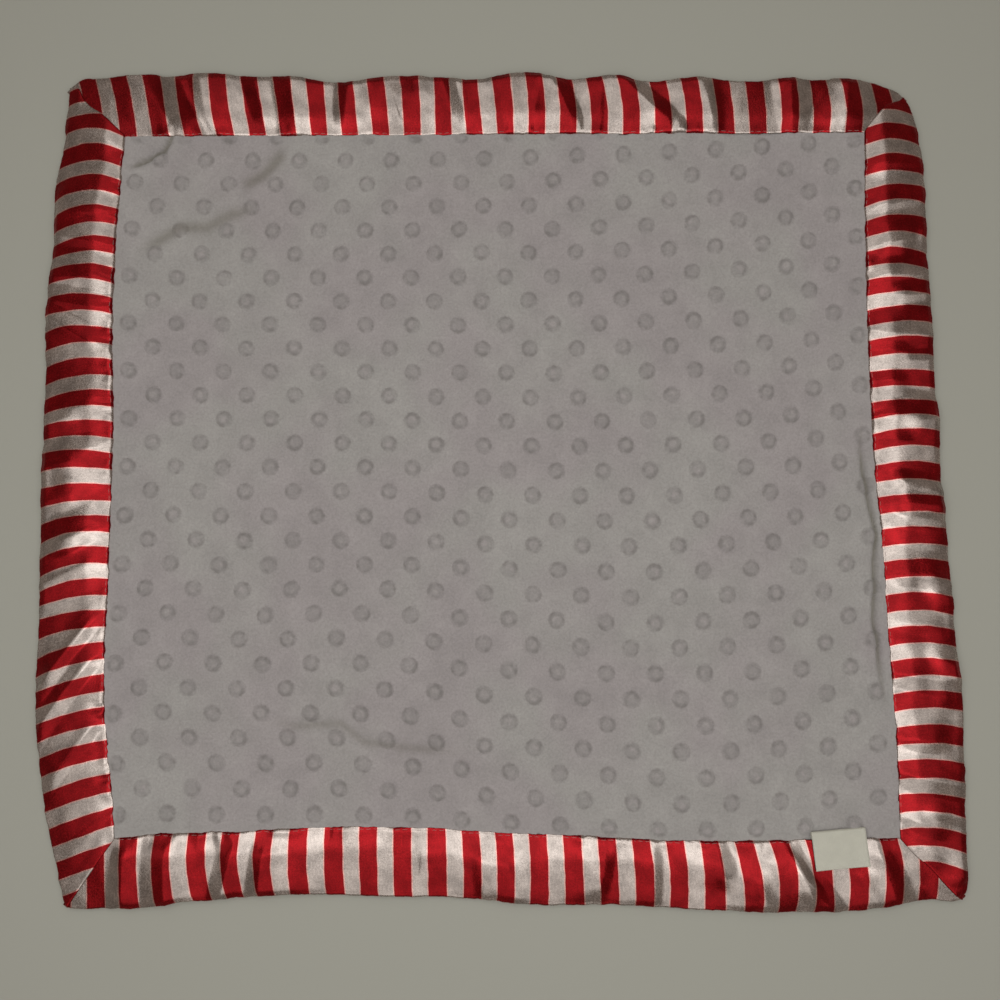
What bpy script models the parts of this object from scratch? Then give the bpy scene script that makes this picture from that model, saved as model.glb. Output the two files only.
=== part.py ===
"""Comfort blanket lovey: two plush panels in a folded and mitred satin binding, with a small bare label.

The blanket lies face up as it was spread out by hand, so its edges bow and its binding ripples.
Sizes are in metres. +Z is up, +X is right and +Y is away from the viewer.
"""
import math

import bmesh
import bpy
import numpy as np
from mathutils import Vector
from mathutils.geometry import delaunay_2d_cdt

# Clearance between pieces that lie on each other
SEAT_GAP = 0.0003

# Panels, from seam to seam
PANEL_WIDTH = 0.3015
PANEL_HEIGHT = 0.2795
PANEL_TUCK = 0.0085
FRONT_THICKNESS = 0.0015
BACK_THICKNESS = 0.0012
PANEL_RAMP = 0.012

# How the spread blanket lies: the far edge is this far left and the near edge this far right
LEAN = 0.0025
SEAM_BOW = 0.005

# Raised dots of the front panel, in rows that are offset by half a pitch. Their columns slant against the
# panel's cut by a share of the way away
DOT_SLANT_SHARE = 0.018
DOT_DIAMETER = 0.007
DOT_HEIGHT = 0.0011
DOT_PITCH = 0.019
DOT_ROW_PITCH = 0.00979
DOT_FIRST_X = -0.0058
DOT_FIRST_Y = 0.0126
DOT_MARGIN = 0.0006
DOT_CORNERS = 6

# Satin binding, folded round the panels' raw edges with its hems turned under
BINDING_WIDTH = 0.0265
SATIN_THICKNESS = 0.0005
HEM_THICKNESS = 0.0007
HEM_WIDTH = 0.006
PUFF = 0.0004
FOLD_HEIGHT = 0.0022
FOLD_ROUND = 0.0009
RIPPLE_HEIGHT = 0.0012
RIPPLE_SLANT = 0.008
RUN_SECTIONS = 28
FREE_IN_SHARE = 0.4
FREE_OUT_SHARE = 0.75
BACK_LIFT_SHARE = 0.4

# Label, caught in the bottom seam and folded back over it
LABEL_WIDTH = 0.0205
LABEL_LENGTH = 0.0139
LABEL_THICKNESS = 0.0004
LABEL_STAND = 0.0033
LABEL_TURN = math.radians(5.5)
LABEL_PLACE_SHARE = 0.9227
LABEL_FOLD_STEPS = 4

# Heights of the layers, from the surface that the blanket lies on
BACK_PANEL_RISE = SATIN_THICKNESS + SEAT_GAP
FRONT_PANEL_LOW = BACK_THICKNESS + SEAT_GAP
FRONT_LEG_LOW = BACK_PANEL_RISE + FRONT_PANEL_LOW + FRONT_THICKNESS + SEAT_GAP
HEM_TOP = FRONT_LEG_LOW + HEM_THICKNESS
BINDING_TOP = FRONT_LEG_LOW + SATIN_THICKNESS + PUFF
LABEL_AXIS_HEIGHT = max(HEM_TOP, BINDING_TOP) + SEAT_GAP + LABEL_THICKNESS / 2.0

# Seam corners off the true rectangle, in shares of LEAN to the right and away
SEAM_CORNER_SHARES = {
    "top_left": (-1.06, 0.26),
    "top_right": (-0.98, -0.26),
    "bottom_left": (1.06, -0.42),
    "bottom_right": (0.94, 0.38),
}

# Folded outer corners off the seam corners, in shares of BINDING_WIDTH to the right and away
OUTER_CORNER_SHARES = {
    "top_left": (-0.93, 0.82),
    "top_right": (0.72, 0.60),
    "bottom_left": (-0.72, -1.03),
    "bottom_right": (0.92, -0.82),
}

# The corners that each side runs between
SIDE_ENDS = {
    "top": ("top_left", "top_right"),
    "bottom": ("bottom_left", "bottom_right"),
    "left": ("top_left", "bottom_left"),
    "right": ("top_right", "bottom_right"),
}

# Seams off the straight: share along the side, share of SEAM_BOW outward
SEAM_SHARES = {
    "top": ((0.0, 0.0), (1.0, 0.0)),
    "bottom": ((0.0, 0.0), (0.06, -0.34), (0.16, -0.5), (0.24, -0.76), (0.36, -0.82), (0.49, -0.46),
               (0.62, -0.11), (0.69, 0.12), (0.83, 0.17), (0.91, 0.1), (1.0, 0.0)),
    "left": ((0.0, 0.0), (0.11, 0.44), (0.23, 0.76), (0.43, 0.58), (0.64, 0.8), (0.78, 1.0),
             (0.84, 0.9), (0.93, 0.3), (1.0, 0.0)),
    "right": ((0.0, 0.0), (0.1, -0.26), (0.21, -0.46), (0.36, -0.6), (0.5, -0.54), (0.61, -0.24),
              (0.72, -0.14), (0.82, 0.04), (1.0, 0.0)),
}

# Folded edge off the straight: share along the side, share of BINDING_WIDTH outward, and how far the
# satin ripples up there as a share of RIPPLE_HEIGHT
EDGE_SHARES = {
    "top": ((0.0, 0.0, 0.5), (0.05, 0.11, 0.4), (0.1, 0.17, 0.1), (0.17, 0.25, 0.0), (0.22, 0.23, 0.3),
            (0.27, 0.22, 0.6), (0.33, 0.12, 1.0), (0.385, 0.25, 0.2), (0.435, 0.25, 0.3),
            (0.485, 0.185, 0.8), (0.545, 0.33, 0.0), (0.6, 0.215, 0.8), (0.655, 0.3, 0.2),
            (0.69, 0.2, 0.9), (0.745, 0.27, 0.2), (0.82, 0.215, 0.8), (0.86, 0.285, 0.1),
            (0.89, 0.235, 0.7), (0.92, 0.28, 0.1), (0.965, 0.18, 0.5), (1.0, 0.0, 0.5)),
    "bottom": ((0.0, 0.0, 0.5), (0.08, 0.0, 0.2), (0.14, -0.08, 0.7), (0.195, -0.12, 0.1),
               (0.25, -0.16, 0.6), (0.31, -0.13, 0.1), (0.37, -0.105, 0.6), (0.455, -0.06, 0.1),
               (0.54, 0.04, 0.5), (0.63, 0.065, 0.1), (0.69, 0.12, 0.6), (0.775, 0.18, 0.0),
               (0.83, 0.185, 0.5), (0.89, 0.18, 0.1), (0.935, 0.075, 0.6), (0.965, 0.01, 0.4),
               (1.0, 0.0, 0.5)),
    "left": ((0.0, 0.0, 0.5), (0.035, 0.05, 0.6), (0.065, 0.1, 0.2), (0.125, 0.205, 0.8),
             (0.19, 0.225, 0.1), (0.25, 0.29, 0.7), (0.295, 0.345, 0.1), (0.37, 0.34, 0.7),
             (0.46, 0.375, 0.1), (0.52, 0.39, 0.6), (0.58, 0.405, 0.1), (0.67, 0.425, 0.7),
             (0.76, 0.465, 0.1), (0.825, 0.41, 0.6), (0.885, 0.325, 0.1), (0.945, 0.16, 0.5),
             (1.0, 0.0, 0.5)),
    "right": ((0.0, 0.0, 0.5), (0.05, 0.08, 0.3), (0.08, 0.125, 0.1), (0.175, 0.105, 0.6),
              (0.24, 0.1, 0.1), (0.3, 0.095, 0.5), (0.365, 0.07, 0.8), (0.43, 0.1, 0.1),
              (0.49, 0.06, 0.7), (0.585, 0.1, 0.1), (0.65, 0.113, 0.6), (0.715, 0.125, 0.1),
              (0.775, 0.16, 0.5), (0.855, 0.11, 0.1), (0.935, 0.06, 0.5), (1.0, 0.0, 0.5)),
}


def clear_scene():
    for item in list(bpy.data.objects):
        bpy.data.objects.remove(item, do_unlink=True)


def make_material(name, color, roughness):
    material = bpy.data.materials.new(name)
    material.use_nodes = True
    shader = material.node_tree.nodes["Principled BSDF"]
    shader.inputs["Base Color"].default_value = (*color, 1.0)
    shader.inputs["Roughness"].default_value = roughness
    shader.inputs["Metallic"].default_value = 0.0
    return material


def add_object(name, shape, material, origin=(0.0, 0.0, 0.0)):
    """Make a named object of a finished bmesh, with its origin at a place of its own."""
    bmesh.ops.recalc_face_normals(shape, faces=shape.faces)
    bmesh.ops.translate(shape, verts=shape.verts, vec=-Vector(origin))
    mesh = bpy.data.meshes.new(name)
    shape.to_mesh(mesh)
    shape.free()
    mesh.materials.append(material)
    mesh.shade_smooth()
    mesh.set_sharp_from_angle(angle=math.radians(50.0))
    item = bpy.data.objects.new(name, mesh)
    item.location = origin
    bpy.context.scene.collection.objects.link(item)
    return item


def read_shares(rows, along, column=1):
    """Value of a share table at a place along its side, on a smooth curve through its rows."""
    table = np.array(rows)
    places, values = table[:, 0], table[:, column]
    slopes = np.gradient(values, places)
    row = int(np.clip(np.searchsorted(places, along) - 1, 0, len(places) - 2))
    span = places[row + 1] - places[row]
    part = (along - places[row]) / span
    start_weight = 2.0 * part ** 3 - 3.0 * part ** 2 + 1.0
    start_slope = span * slopes[row] * (part ** 3 - 2.0 * part ** 2 + part)
    end_slope = span * slopes[row + 1] * (part ** 3 - part ** 2)
    between = values[row] * start_weight + values[row + 1] * (1.0 - start_weight)
    return float(between + start_slope + end_slope)


def seam_corner(name):
    shares = SEAM_CORNER_SHARES[name]
    right = 0.5 if name.endswith("right") else -0.5
    away = 0.5 if name.startswith("top") else -0.5
    return Vector((right * PANEL_WIDTH + LEAN * shares[0], away * PANEL_HEIGHT + LEAN * shares[1]))


def outer_corner(name):
    return seam_corner(name) + BINDING_WIDTH * Vector(OUTER_CORNER_SHARES[name])


def outward(start, end):
    """Unit vector square to a side's chord, pointing away from the blanket's middle."""
    chord = (end - start).normalized()
    square = Vector((-chord.y, chord.x))
    return square if square.dot(start + end) > 0.0 else -square


def seam_point(side, along):
    start, end = (seam_corner(name) for name in SIDE_ENDS[side])
    bow = SEAM_BOW * read_shares(SEAM_SHARES[side], along)
    return start.lerp(end, along) + bow * outward(start, end)


def fold_point(side, along):
    start, end = (outer_corner(name) for name in SIDE_ENDS[side])
    bow = BINDING_WIDTH * read_shares(EDGE_SHARES[side], along)
    return start.lerp(end, along) + bow * outward(start, end)


def side_places():
    return [section / RUN_SECTIONS for section in range(RUN_SECTIONS + 1)]


def outline_centre():
    """Middle of the box round the folded edge. It is the origin of the blanket."""
    points = [fold_point(side, along) for side in SIDE_ENDS for along in side_places()]
    low = Vector((min(point.x for point in points), min(point.y for point in points)))
    high = Vector((max(point.x for point in points), max(point.y for point in points)))
    return (low + high) / 2.0


CENTRE = outline_centre()


def lay(flat):
    """Plan place on the lying panel of a point of the flat one, between its four bowed seams."""
    across = flat.x / PANEL_WIDTH + 0.5
    up = flat.y / PANEL_HEIGHT + 0.5
    between_sides = seam_point("left", 1.0 - up).lerp(seam_point("right", 1.0 - up), across)
    between_ends = seam_point("bottom", across).lerp(seam_point("top", across), up)
    low = seam_corner("bottom_left").lerp(seam_corner("bottom_right"), across)
    high = seam_corner("top_left").lerp(seam_corner("top_right"), across)
    return between_sides + between_ends - low.lerp(high, up) - CENTRE


def panel_rise(flat):
    """How far the panels have risen off the surface on their way into the binding."""
    from_seam = min(PANEL_WIDTH / 2.0 - abs(flat.x), PANEL_HEIGHT / 2.0 - abs(flat.y))
    return BACK_PANEL_RISE * max(0.0, 1.0 - from_seam / PANEL_RAMP)


def binding_ring(tuck):
    """Points round the panel's edge at a depth in the binding, each with its rise."""
    ring = []
    for side, backwards in (("bottom", False), ("right", True), ("top", True), ("left", False)):
        for along in side_places()[:-1]:
            place = 1.0 - along if backwards else along
            seam = seam_point(side, place)
            run = (fold_point(side, place) - seam).normalized()
            point = seam + tuck * run - CENTRE
            ring.append(Vector((point.x, point.y, BACK_PANEL_RISE)))
    return ring


def ramp_ring():
    """Points round the part of the panel that lies flat."""
    right = PANEL_WIDTH / 2.0 - PANEL_RAMP
    away = PANEL_HEIGHT / 2.0 - PANEL_RAMP
    corners = [Vector(pair) for pair in ((-right, -away), (right, -away), (right, away), (-right, away))]
    ring = []
    for start, end in zip(corners, corners[1:] + corners[:1]):
        for along in side_places()[:-1]:
            point = lay(start.lerp(end, along))
            ring.append(Vector((point.x, point.y, 0.0)))
    return ring


def label_line():
    """Middle of the label's fold, the way that the fold runs and the way that the free end points."""
    line = Vector((math.cos(LABEL_TURN), math.sin(LABEL_TURN)))
    free_way = Vector((line.y, -line.x))
    return seam_point("bottom", LABEL_PLACE_SHARE) - LABEL_STAND * free_way - CENTRE, line, free_way


def dot_places():
    """Middles of the dots on the flat panel, clear of the binding and of the label."""
    fold_middle, line, free_way = label_line()
    reach = DOT_DIAMETER / 2.0 + DOT_MARGIN
    rows = math.ceil(PANEL_HEIGHT / DOT_ROW_PITCH)
    columns = math.ceil(PANEL_WIDTH / DOT_PITCH)
    places = []
    for row in range(-rows, rows + 1):
        for column in range(-columns, columns + 1):
            away = DOT_FIRST_Y + DOT_ROW_PITCH * row
            flat = Vector((DOT_FIRST_X + DOT_PITCH * (column + (row % 2) / 2.0) + DOT_SLANT_SHARE * away, away))
            if max(abs(flat.x) - PANEL_WIDTH / 2.0, abs(flat.y) - PANEL_HEIGHT / 2.0) > -reach:
                continue
            from_label = lay(flat) - fold_middle
            beside = abs(from_label.dot(line)) > LABEL_WIDTH / 2.0 + reach
            if beside or from_label.dot(free_way) < -reach:
                places.append(flat)
    return places


def dot_points(flat):
    """A dot's crown, then the corners of its foot, each with its rise."""
    points = []
    for corner in range(-1, DOT_CORNERS):
        turn = math.tau * corner / DOT_CORNERS
        radius = 0.0 if corner < 0 else DOT_DIAMETER / 2.0
        point = flat + radius * Vector((math.cos(turn), math.sin(turn)))
        laid = lay(point)
        points.append(Vector((laid.x, laid.y, panel_rise(point) + (DOT_HEIGHT if corner < 0 else 0.0))))
    return points


def add_surface(shape, rings, loose, dots, level):
    """Triangulated surface inside the first ring, with the others and every dot's foot as creases."""
    points, creases = [], []
    for ring in rings:
        first = len(points)
        points.extend(ring)
        creases.extend((first + step, first + (step + 1) % len(ring)) for step in range(len(ring)))
    points.extend(loose)
    for dot in dots:
        first = len(points) + 1
        points.extend(dot)
        creases.extend((first + step, first + (step + 1) % DOT_CORNERS) for step in range(DOT_CORNERS))
    plan = [point.to_2d() for point in points]
    result = delaunay_2d_cdt(plan, creases, [], 1, SEAT_GAP / len(plan))
    verts = [shape.verts.new((point.x, point.y, point.z + level)) for point in points]
    for face in result[2]:
        shape.faces.new([verts[result[3][corner][0]] for corner in face])
    return verts[:len(rings[0])]


def build_panel(name, thickness, low, with_dots, material):
    """Cut piece of plush that lies flat in its middle and rises into the binding at its edge."""
    rings = [binding_ring(PANEL_TUCK), binding_ring(0.0), ramp_ring()]
    panel = bmesh.new()
    under = add_surface(panel, rings, [], [], low)
    if with_dots:
        dots = [dot_points(flat) for flat in dot_places()]
        crowns = [dot[0].to_2d() for dot in dots]
        reach = DOT_DIAMETER / 2.0 + DOT_MARGIN
        clear = [point for point in rings[2]
                 if min((point.to_2d() - crown).length for crown in crowns) > reach]
        over = add_surface(panel, rings[:2], clear, dots, low + thickness)
    else:
        over = add_surface(panel, rings, [], [], low + thickness)
    for step in range(len(under)):
        following = (step + 1) % len(under)
        panel.faces.new((under[step], under[following], over[following], over[step]))
    return add_object(name, panel, material)


def loft(shape, sections):
    """Skin rings of equal count one after another and close both ends."""
    rings = [[shape.verts.new(point) for point in section] for section in sections]
    for ring, following in zip(rings, rings[1:]):
        for corner in range(len(ring)):
            step = (corner + 1) % len(ring)
            shape.faces.new((ring[corner], ring[step], following[step], following[corner]))
    shape.faces.new(rings[0])
    shape.faces.new(rings[-1])


def mitre_setback(side, along, run):
    """Half the gap that the mitre leaves, square to it and into the run of binding."""
    if 0.0 < along < 1.0:
        return Vector((0.0, 0.0))
    square = Vector((-run.y, run.x))
    inward = fold_point(side, 0.5) - fold_point(side, along)
    return square * math.copysign(SEAT_GAP / 2.0, square.dot(inward))


def binding_section(side, along):
    """Ring round the folded satin: from the back hem out round the fold to the front hem, and back."""
    seam, fold = seam_point(side, along), fold_point(side, along)
    length = (fold - seam).length
    run = (fold - seam) / length
    side_length = (fold_point(side, 1.0) - fold_point(side, 0.0)).length

    def ripple(width):
        place = along + RIPPLE_SLANT * (width / length - 1.0) / side_length
        return RIPPLE_HEIGHT * max(0.0, read_shares(EDGE_SHARES[side], min(max(place, 0.0), 1.0), 2))

    free_in = PANEL_TUCK + FREE_IN_SHARE * (length - PANEL_TUCK)
    free_out = PANEL_TUCK + FREE_OUT_SHARE * (length - PANEL_TUCK)
    fold_low = ripple(length)
    fold_high = fold_low + FOLD_HEIGHT
    slope = FOLD_HEIGHT - BINDING_TOP
    top_in = BINDING_TOP + FREE_IN_SHARE * slope + ripple(free_in)
    top_out = BINDING_TOP + FREE_OUT_SHARE * slope + ripple(free_out)
    nose = length - FOLD_ROUND
    back_lift = BACK_LIFT_SHARE * fold_low
    outside = [(0.0, 0.0), (free_in, 0.0), (free_out, back_lift), (nose, fold_low),
               (length, (fold_low + fold_high) / 2.0), (nose, fold_high), (free_out, top_out),
               (free_in, top_in), (PANEL_TUCK, BINDING_TOP), (HEM_WIDTH, HEM_TOP), (0.0, HEM_TOP)]
    inside = [(0.0, FRONT_LEG_LOW), (HEM_WIDTH, FRONT_LEG_LOW),
              (PANEL_TUCK, BINDING_TOP - SATIN_THICKNESS), (free_in, top_in - SATIN_THICKNESS),
              (free_out, top_out - SATIN_THICKNESS), (nose, fold_high - SATIN_THICKNESS),
              (length - SATIN_THICKNESS, (fold_low + fold_high) / 2.0),
              (nose, fold_low + SATIN_THICKNESS), (free_out, back_lift + SATIN_THICKNESS),
              (free_in, SATIN_THICKNESS), (0.0, SATIN_THICKNESS)]
    start = seam - CENTRE + mitre_setback(side, along, run)
    return [(start.x + run.x * width, start.y + run.y * width, height) for width, height in outside + inside]


def build_binding(side, material):
    binding = bmesh.new()
    loft(binding, [binding_section(side, along) for along in side_places()])
    return add_object("binding_" + side, binding, material)


def seam_reach(start, free_way):
    """How far the bottom seam is from a point of the label's fold, along the label."""
    near = seam_point("bottom", LABEL_PLACE_SHARE) - CENTRE
    chord = seam_point("bottom", 1.0) - seam_point("bottom", LABEL_PLACE_SHARE)
    return (near - start).cross(chord) / free_way.cross(chord)


def build_label_tab(material):
    """Sewn end of the label, lying on the front panel between its fold and the seam."""
    middle, line, free_way = label_line()
    tab = bmesh.new()
    rings = []
    for height in (FRONT_LEG_LOW, FRONT_LEG_LOW + LABEL_THICKNESS):
        ends = [middle - line * LABEL_WIDTH / 2.0, middle + line * LABEL_WIDTH / 2.0]
        reaches = [seam_reach(end, free_way) - SEAT_GAP for end in ends]
        corners = [ends[0], ends[1], ends[1] + free_way * reaches[1], ends[0] + free_way * reaches[0]]
        rings.append([(corner.x, corner.y, height) for corner in corners])
    loft(tab, rings)
    return add_object("label_tab", tab, material)


def build_label_flap(material):
    """Free flap of the label, lying over the seam. Its origin is on the fold that it turns about."""
    middle, line, free_way = label_line()
    half = LABEL_THICKNESS / 2.0
    profile = [(LABEL_LENGTH, half), (LABEL_LENGTH, -half)]
    for step in range(LABEL_FOLD_STEPS + 1):
        turn = math.pi * (0.5 + step / LABEL_FOLD_STEPS)
        profile.append((half * math.cos(turn), -half * math.sin(turn)))
    flap = bmesh.new()
    sections = []
    for across in (-LABEL_WIDTH / 2.0, LABEL_WIDTH / 2.0):
        start = middle + line * across
        sections.append([(start.x + free_way.x * out, start.y + free_way.y * out, LABEL_AXIS_HEIGHT + height)
                         for out, height in profile])
    loft(flap, sections)
    return add_object("label_flap", flap, material, (middle.x, middle.y, LABEL_AXIS_HEIGHT))


def build_lovey():
    clear_scene()
    plush = make_material("white_plush", (0.60, 0.56, 0.52), 0.95)
    satin = make_material("striped_satin", (0.50, 0.04, 0.05), 0.35)
    label_satin = make_material("label_satin", (0.66, 0.65, 0.58), 0.5)
    build_panel("back_panel", BACK_THICKNESS, 0.0, False, plush)
    build_panel("front_panel", FRONT_THICKNESS, FRONT_PANEL_LOW, True, plush)
    for side in SIDE_ENDS:
        build_binding(side, satin)
    build_label_tab(label_satin)
    build_label_flap(label_satin)


build_lovey()
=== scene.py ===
"""Comfort blanket lovey: dimple-dot plush in a folded and mitred striped satin binding, with a bare label.

It is laid out as a Blender add-on and run as a script. Sizes are in metres. The blanket lies face up on a
pale floor, +Z up, +X right and +Y away from the viewer, in the place that the loaded frame gives it.
"""
import math

import bmesh
import bpy
import numpy as np
from bmesh.types import BMEdge, BMVert
from bpy.props import FloatProperty, FloatVectorProperty, PointerProperty
from mathutils import Matrix, Vector, noise


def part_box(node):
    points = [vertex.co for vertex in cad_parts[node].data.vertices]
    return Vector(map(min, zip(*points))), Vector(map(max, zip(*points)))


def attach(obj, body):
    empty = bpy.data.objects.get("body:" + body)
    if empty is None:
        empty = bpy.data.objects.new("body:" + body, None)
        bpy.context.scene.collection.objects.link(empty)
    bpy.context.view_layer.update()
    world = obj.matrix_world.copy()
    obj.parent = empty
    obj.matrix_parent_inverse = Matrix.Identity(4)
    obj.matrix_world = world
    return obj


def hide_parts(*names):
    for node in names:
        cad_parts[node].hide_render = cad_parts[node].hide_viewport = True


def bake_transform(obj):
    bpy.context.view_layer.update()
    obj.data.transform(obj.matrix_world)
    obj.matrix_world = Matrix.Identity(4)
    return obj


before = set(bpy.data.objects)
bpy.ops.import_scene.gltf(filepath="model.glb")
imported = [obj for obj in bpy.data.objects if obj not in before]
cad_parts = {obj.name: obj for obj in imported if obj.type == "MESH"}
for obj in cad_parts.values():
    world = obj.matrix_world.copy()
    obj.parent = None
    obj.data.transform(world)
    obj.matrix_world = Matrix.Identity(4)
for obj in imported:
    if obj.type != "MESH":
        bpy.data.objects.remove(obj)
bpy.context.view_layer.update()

bl_info = {
    "name": "Comfort Blanket Lovey",
    "version": (1, 0, 0),
    "blender": (4, 5, 0),
    "location": "View3D > Sidebar > Lovey",
    "description": "Builds a plush comfort blanket with a striped satin binding, piece by piece",
    "category": "Object",
}

# Seam corners off the true rectangle, in shares of the lean to the right and away
SEAM_CORNER_SHARES = {
    "top_left": (-1.06, 0.26),
    "top_right": (-0.98, -0.26),
    "bottom_left": (1.06, -0.42),
    "bottom_right": (0.94, 0.38),
}

# Folded outer corners off the seam corners, in shares of the binding's width to the right and away
OUTER_CORNER_SHARES = {
    "top_left": (-0.93, 0.82),
    "top_right": (0.72, 0.60),
    "bottom_left": (-0.72, -1.03),
    "bottom_right": (0.92, -0.82),
}

# The corners that each side runs between. The left and right runs lie over the top and bottom ones
SIDE_ENDS = {
    "top": ("top_left", "top_right"),
    "bottom": ("bottom_left", "bottom_right"),
    "left": ("top_left", "bottom_left"),
    "right": ("top_right", "bottom_right"),
}
UPPER_SIDES = ("left", "right")

# Seams off the straight: share along the side, share of the seam's bow outward
SEAM_SHARES = {
    "top": ((0.0, 0.0), (1.0, 0.0)),
    "bottom": ((0.0, 0.0), (0.06, -0.34), (0.16, -0.5), (0.24, -0.76), (0.36, -0.82), (0.49, -0.46),
               (0.62, -0.11), (0.69, 0.12), (0.83, 0.17), (0.91, 0.1), (1.0, 0.0)),
    "left": ((0.0, 0.0), (0.11, 0.44), (0.23, 0.76), (0.43, 0.58), (0.64, 0.8), (0.78, 1.0),
             (0.84, 0.9), (0.93, 0.3), (1.0, 0.0)),
    "right": ((0.0, 0.0), (0.1, -0.26), (0.21, -0.46), (0.36, -0.6), (0.5, -0.54), (0.61, -0.24),
              (0.72, -0.14), (0.82, 0.04), (1.0, 0.0)),
}

# Folded edge off the straight: share along the side, share of the binding's width outward, and how far
# the satin ripples up there as a share of the ripples' height
EDGE_SHARES = {
    "top": ((0.0, 0.0, 0.5), (0.012, 0.145, 0.4), (0.033, 0.168, 0.4), (0.05, 0.205, 0.4), (0.07, 0.24, 0.3),
            (0.09, 0.265, 0.2), (0.12, 0.21, 0.1), (0.15, 0.265, 0.0), (0.17, 0.28, 0.0),
            (0.22, 0.23, 0.3), (0.27, 0.22, 0.6), (0.33, 0.12, 1.0), (0.385, 0.25, 0.2), (0.435, 0.25, 0.3),
            (0.485, 0.185, 0.8), (0.545, 0.33, 0.0), (0.6, 0.215, 0.8), (0.655, 0.3, 0.2),
            (0.69, 0.2, 0.9), (0.745, 0.27, 0.2), (0.82, 0.215, 0.8), (0.86, 0.285, 0.1),
            (0.89, 0.235, 0.7), (0.92, 0.28, 0.1), (0.965, 0.18, 0.5), (1.0, 0.0, 0.5)),
    "bottom": ((0.0, 0.0, 0.5), (0.08, 0.0, 0.2), (0.14, -0.08, 0.7), (0.195, -0.12, 0.1),
               (0.25, -0.16, 0.6), (0.31, -0.13, 0.1), (0.37, -0.105, 0.6), (0.455, -0.06, 0.1),
               (0.54, 0.04, 0.5), (0.63, 0.065, 0.1), (0.69, 0.12, 0.6), (0.775, 0.18, 0.0),
               (0.83, 0.185, 0.5), (0.89, 0.18, 0.1), (0.935, 0.075, 0.6), (0.965, 0.01, 0.4),
               (1.0, 0.0, 0.5)),
    "left": ((0.0, 0.0, 0.5), (0.035, 0.03, 0.6), (0.065, 0.072, 0.2), (0.125, 0.2, 0.8),
             (0.19, 0.225, 0.1), (0.25, 0.29, 0.7), (0.295, 0.345, 0.1), (0.37, 0.34, 0.7),
             (0.46, 0.375, 0.1), (0.52, 0.39, 0.6), (0.58, 0.405, 0.1), (0.67, 0.425, 0.7),
             (0.76, 0.465, 0.1), (0.825, 0.41, 0.6), (0.885, 0.325, 0.1), (0.945, 0.16, 0.5),
             (1.0, 0.0, 0.5)),
    "right": ((0.0, 0.0, 0.5), (0.05, 0.08, 0.3), (0.08, 0.125, 0.1), (0.175, 0.105, 0.6),
              (0.24, 0.1, 0.1), (0.3, 0.095, 0.5), (0.365, 0.07, 0.8), (0.43, 0.1, 0.1),
              (0.49, 0.06, 0.7), (0.585, 0.1, 0.1), (0.65, 0.113, 0.6), (0.715, 0.125, 0.1),
              (0.775, 0.16, 0.5), (0.855, 0.11, 0.1), (0.935, 0.06, 0.5), (1.0, 0.0, 0.5)),
}

# Pushes on the folded outline near each corner: to the right, away and reach, in shares of the binding's
# width
CORNER_PUSH_SHARES = {
    "top_left": ((0.0, 0.0, 0.1),),
    "top_right": ((-0.04, 0.0, 0.25), (-0.04, -0.02, 0.1)),
    "bottom_left": ((0.02, 0.02, 0.08),),
    "bottom_right": ((0.03, -0.1, 0.5), (-0.07, 0.05, 0.15)),
}

# Mitres off the straight: share of the way from seam to folded corner, then how far the upper run's end
# reaches past the straight line there, in shares of the binding's width
MITRE_SHARES = {
    "top_left": ((0.0, 0.0), (0.4, 0.025), (0.66, -0.01), (0.76, 0.03), (0.82, 0.11), (0.9, 0.07),
                 (1.0, 0.0)),
    "top_right": ((0.0, 0.0), (0.15, 0.05), (0.31, 0.08), (0.55, 0.09), (0.75, 0.04), (0.9, -0.005),
                  (1.0, 0.0)),
    "bottom_left": ((0.0, 0.0), (0.5, 0.0), (1.0, 0.0)),
    "bottom_right": ((0.0, 0.0), (0.23, 0.03), (0.45, 0.0), (0.75, 0.03), (0.9, 0.03), (1.0, 0.0)),
}

# Where a red stripe crosses the seam first and how far apart the next ones follow there, in metres
STRIPE_STARTS = {
    "top": (0.0032, 0.01284),
    "bottom": (0.0041, 0.01322),
    "left": (0.0089, 0.01257),
    "right": (0.0009, 0.01252),
}

# A side's last stripe runs wider, up to the cut end: stripe pairs from the start where it begins to, and by
# which share it does
LAST_STRIPES = {
    "top": (math.inf, 0.0),
    "bottom": (23.45, 0.6),
    "left": (math.inf, 0.0),
    "right": (23.05, 0.78),
}

# How far the stripes drift along the seam: share along the side, then the drift in shares of a stripe pair
STRIPE_DRIFT_SHARES = {
    "top": ((0.0, -0.12), (0.06, -0.04), (0.12, 0.02), (0.2, 0.07), (0.26, 0.05), (0.32, 0.015),
            (0.46, 0.0), (0.56, -0.045), (0.74, -0.05), (0.86, -0.055), (0.94, -0.085), (1.0, -0.08)),
    "bottom": ((0.0, 0.15), (0.1, 0.18), (0.18, 0.15), (0.34, 0.165), (0.44, 0.14), (0.52, 0.09),
               (0.62, 0.075), (0.7, 0.045), (0.8, 0.01), (0.86, 0.025), (0.9, 0.06), (0.94, 0.13),
               (1.0, 0.15)),
    "left": ((0.0, 0.09), (0.06, 0.08), (0.12, 0.03), (0.18, 0.0), (0.4, 0.01), (0.56, 0.02),
             (0.64, 0.0), (0.72, -0.035), (0.78, -0.055), (0.86, -0.02), (0.94, 0.015), (1.0, 0.05)),
    "right": ((0.0, 0.12), (0.06, 0.16), (0.12, 0.19), (0.18, 0.185), (0.24, 0.11), (0.32, 0.08),
              (0.42, 0.06), (0.54, 0.05), (0.62, 0.065), (0.7, 0.115), (0.82, 0.12), (0.94, 0.14),
              (1.0, 0.17)),
}

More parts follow.
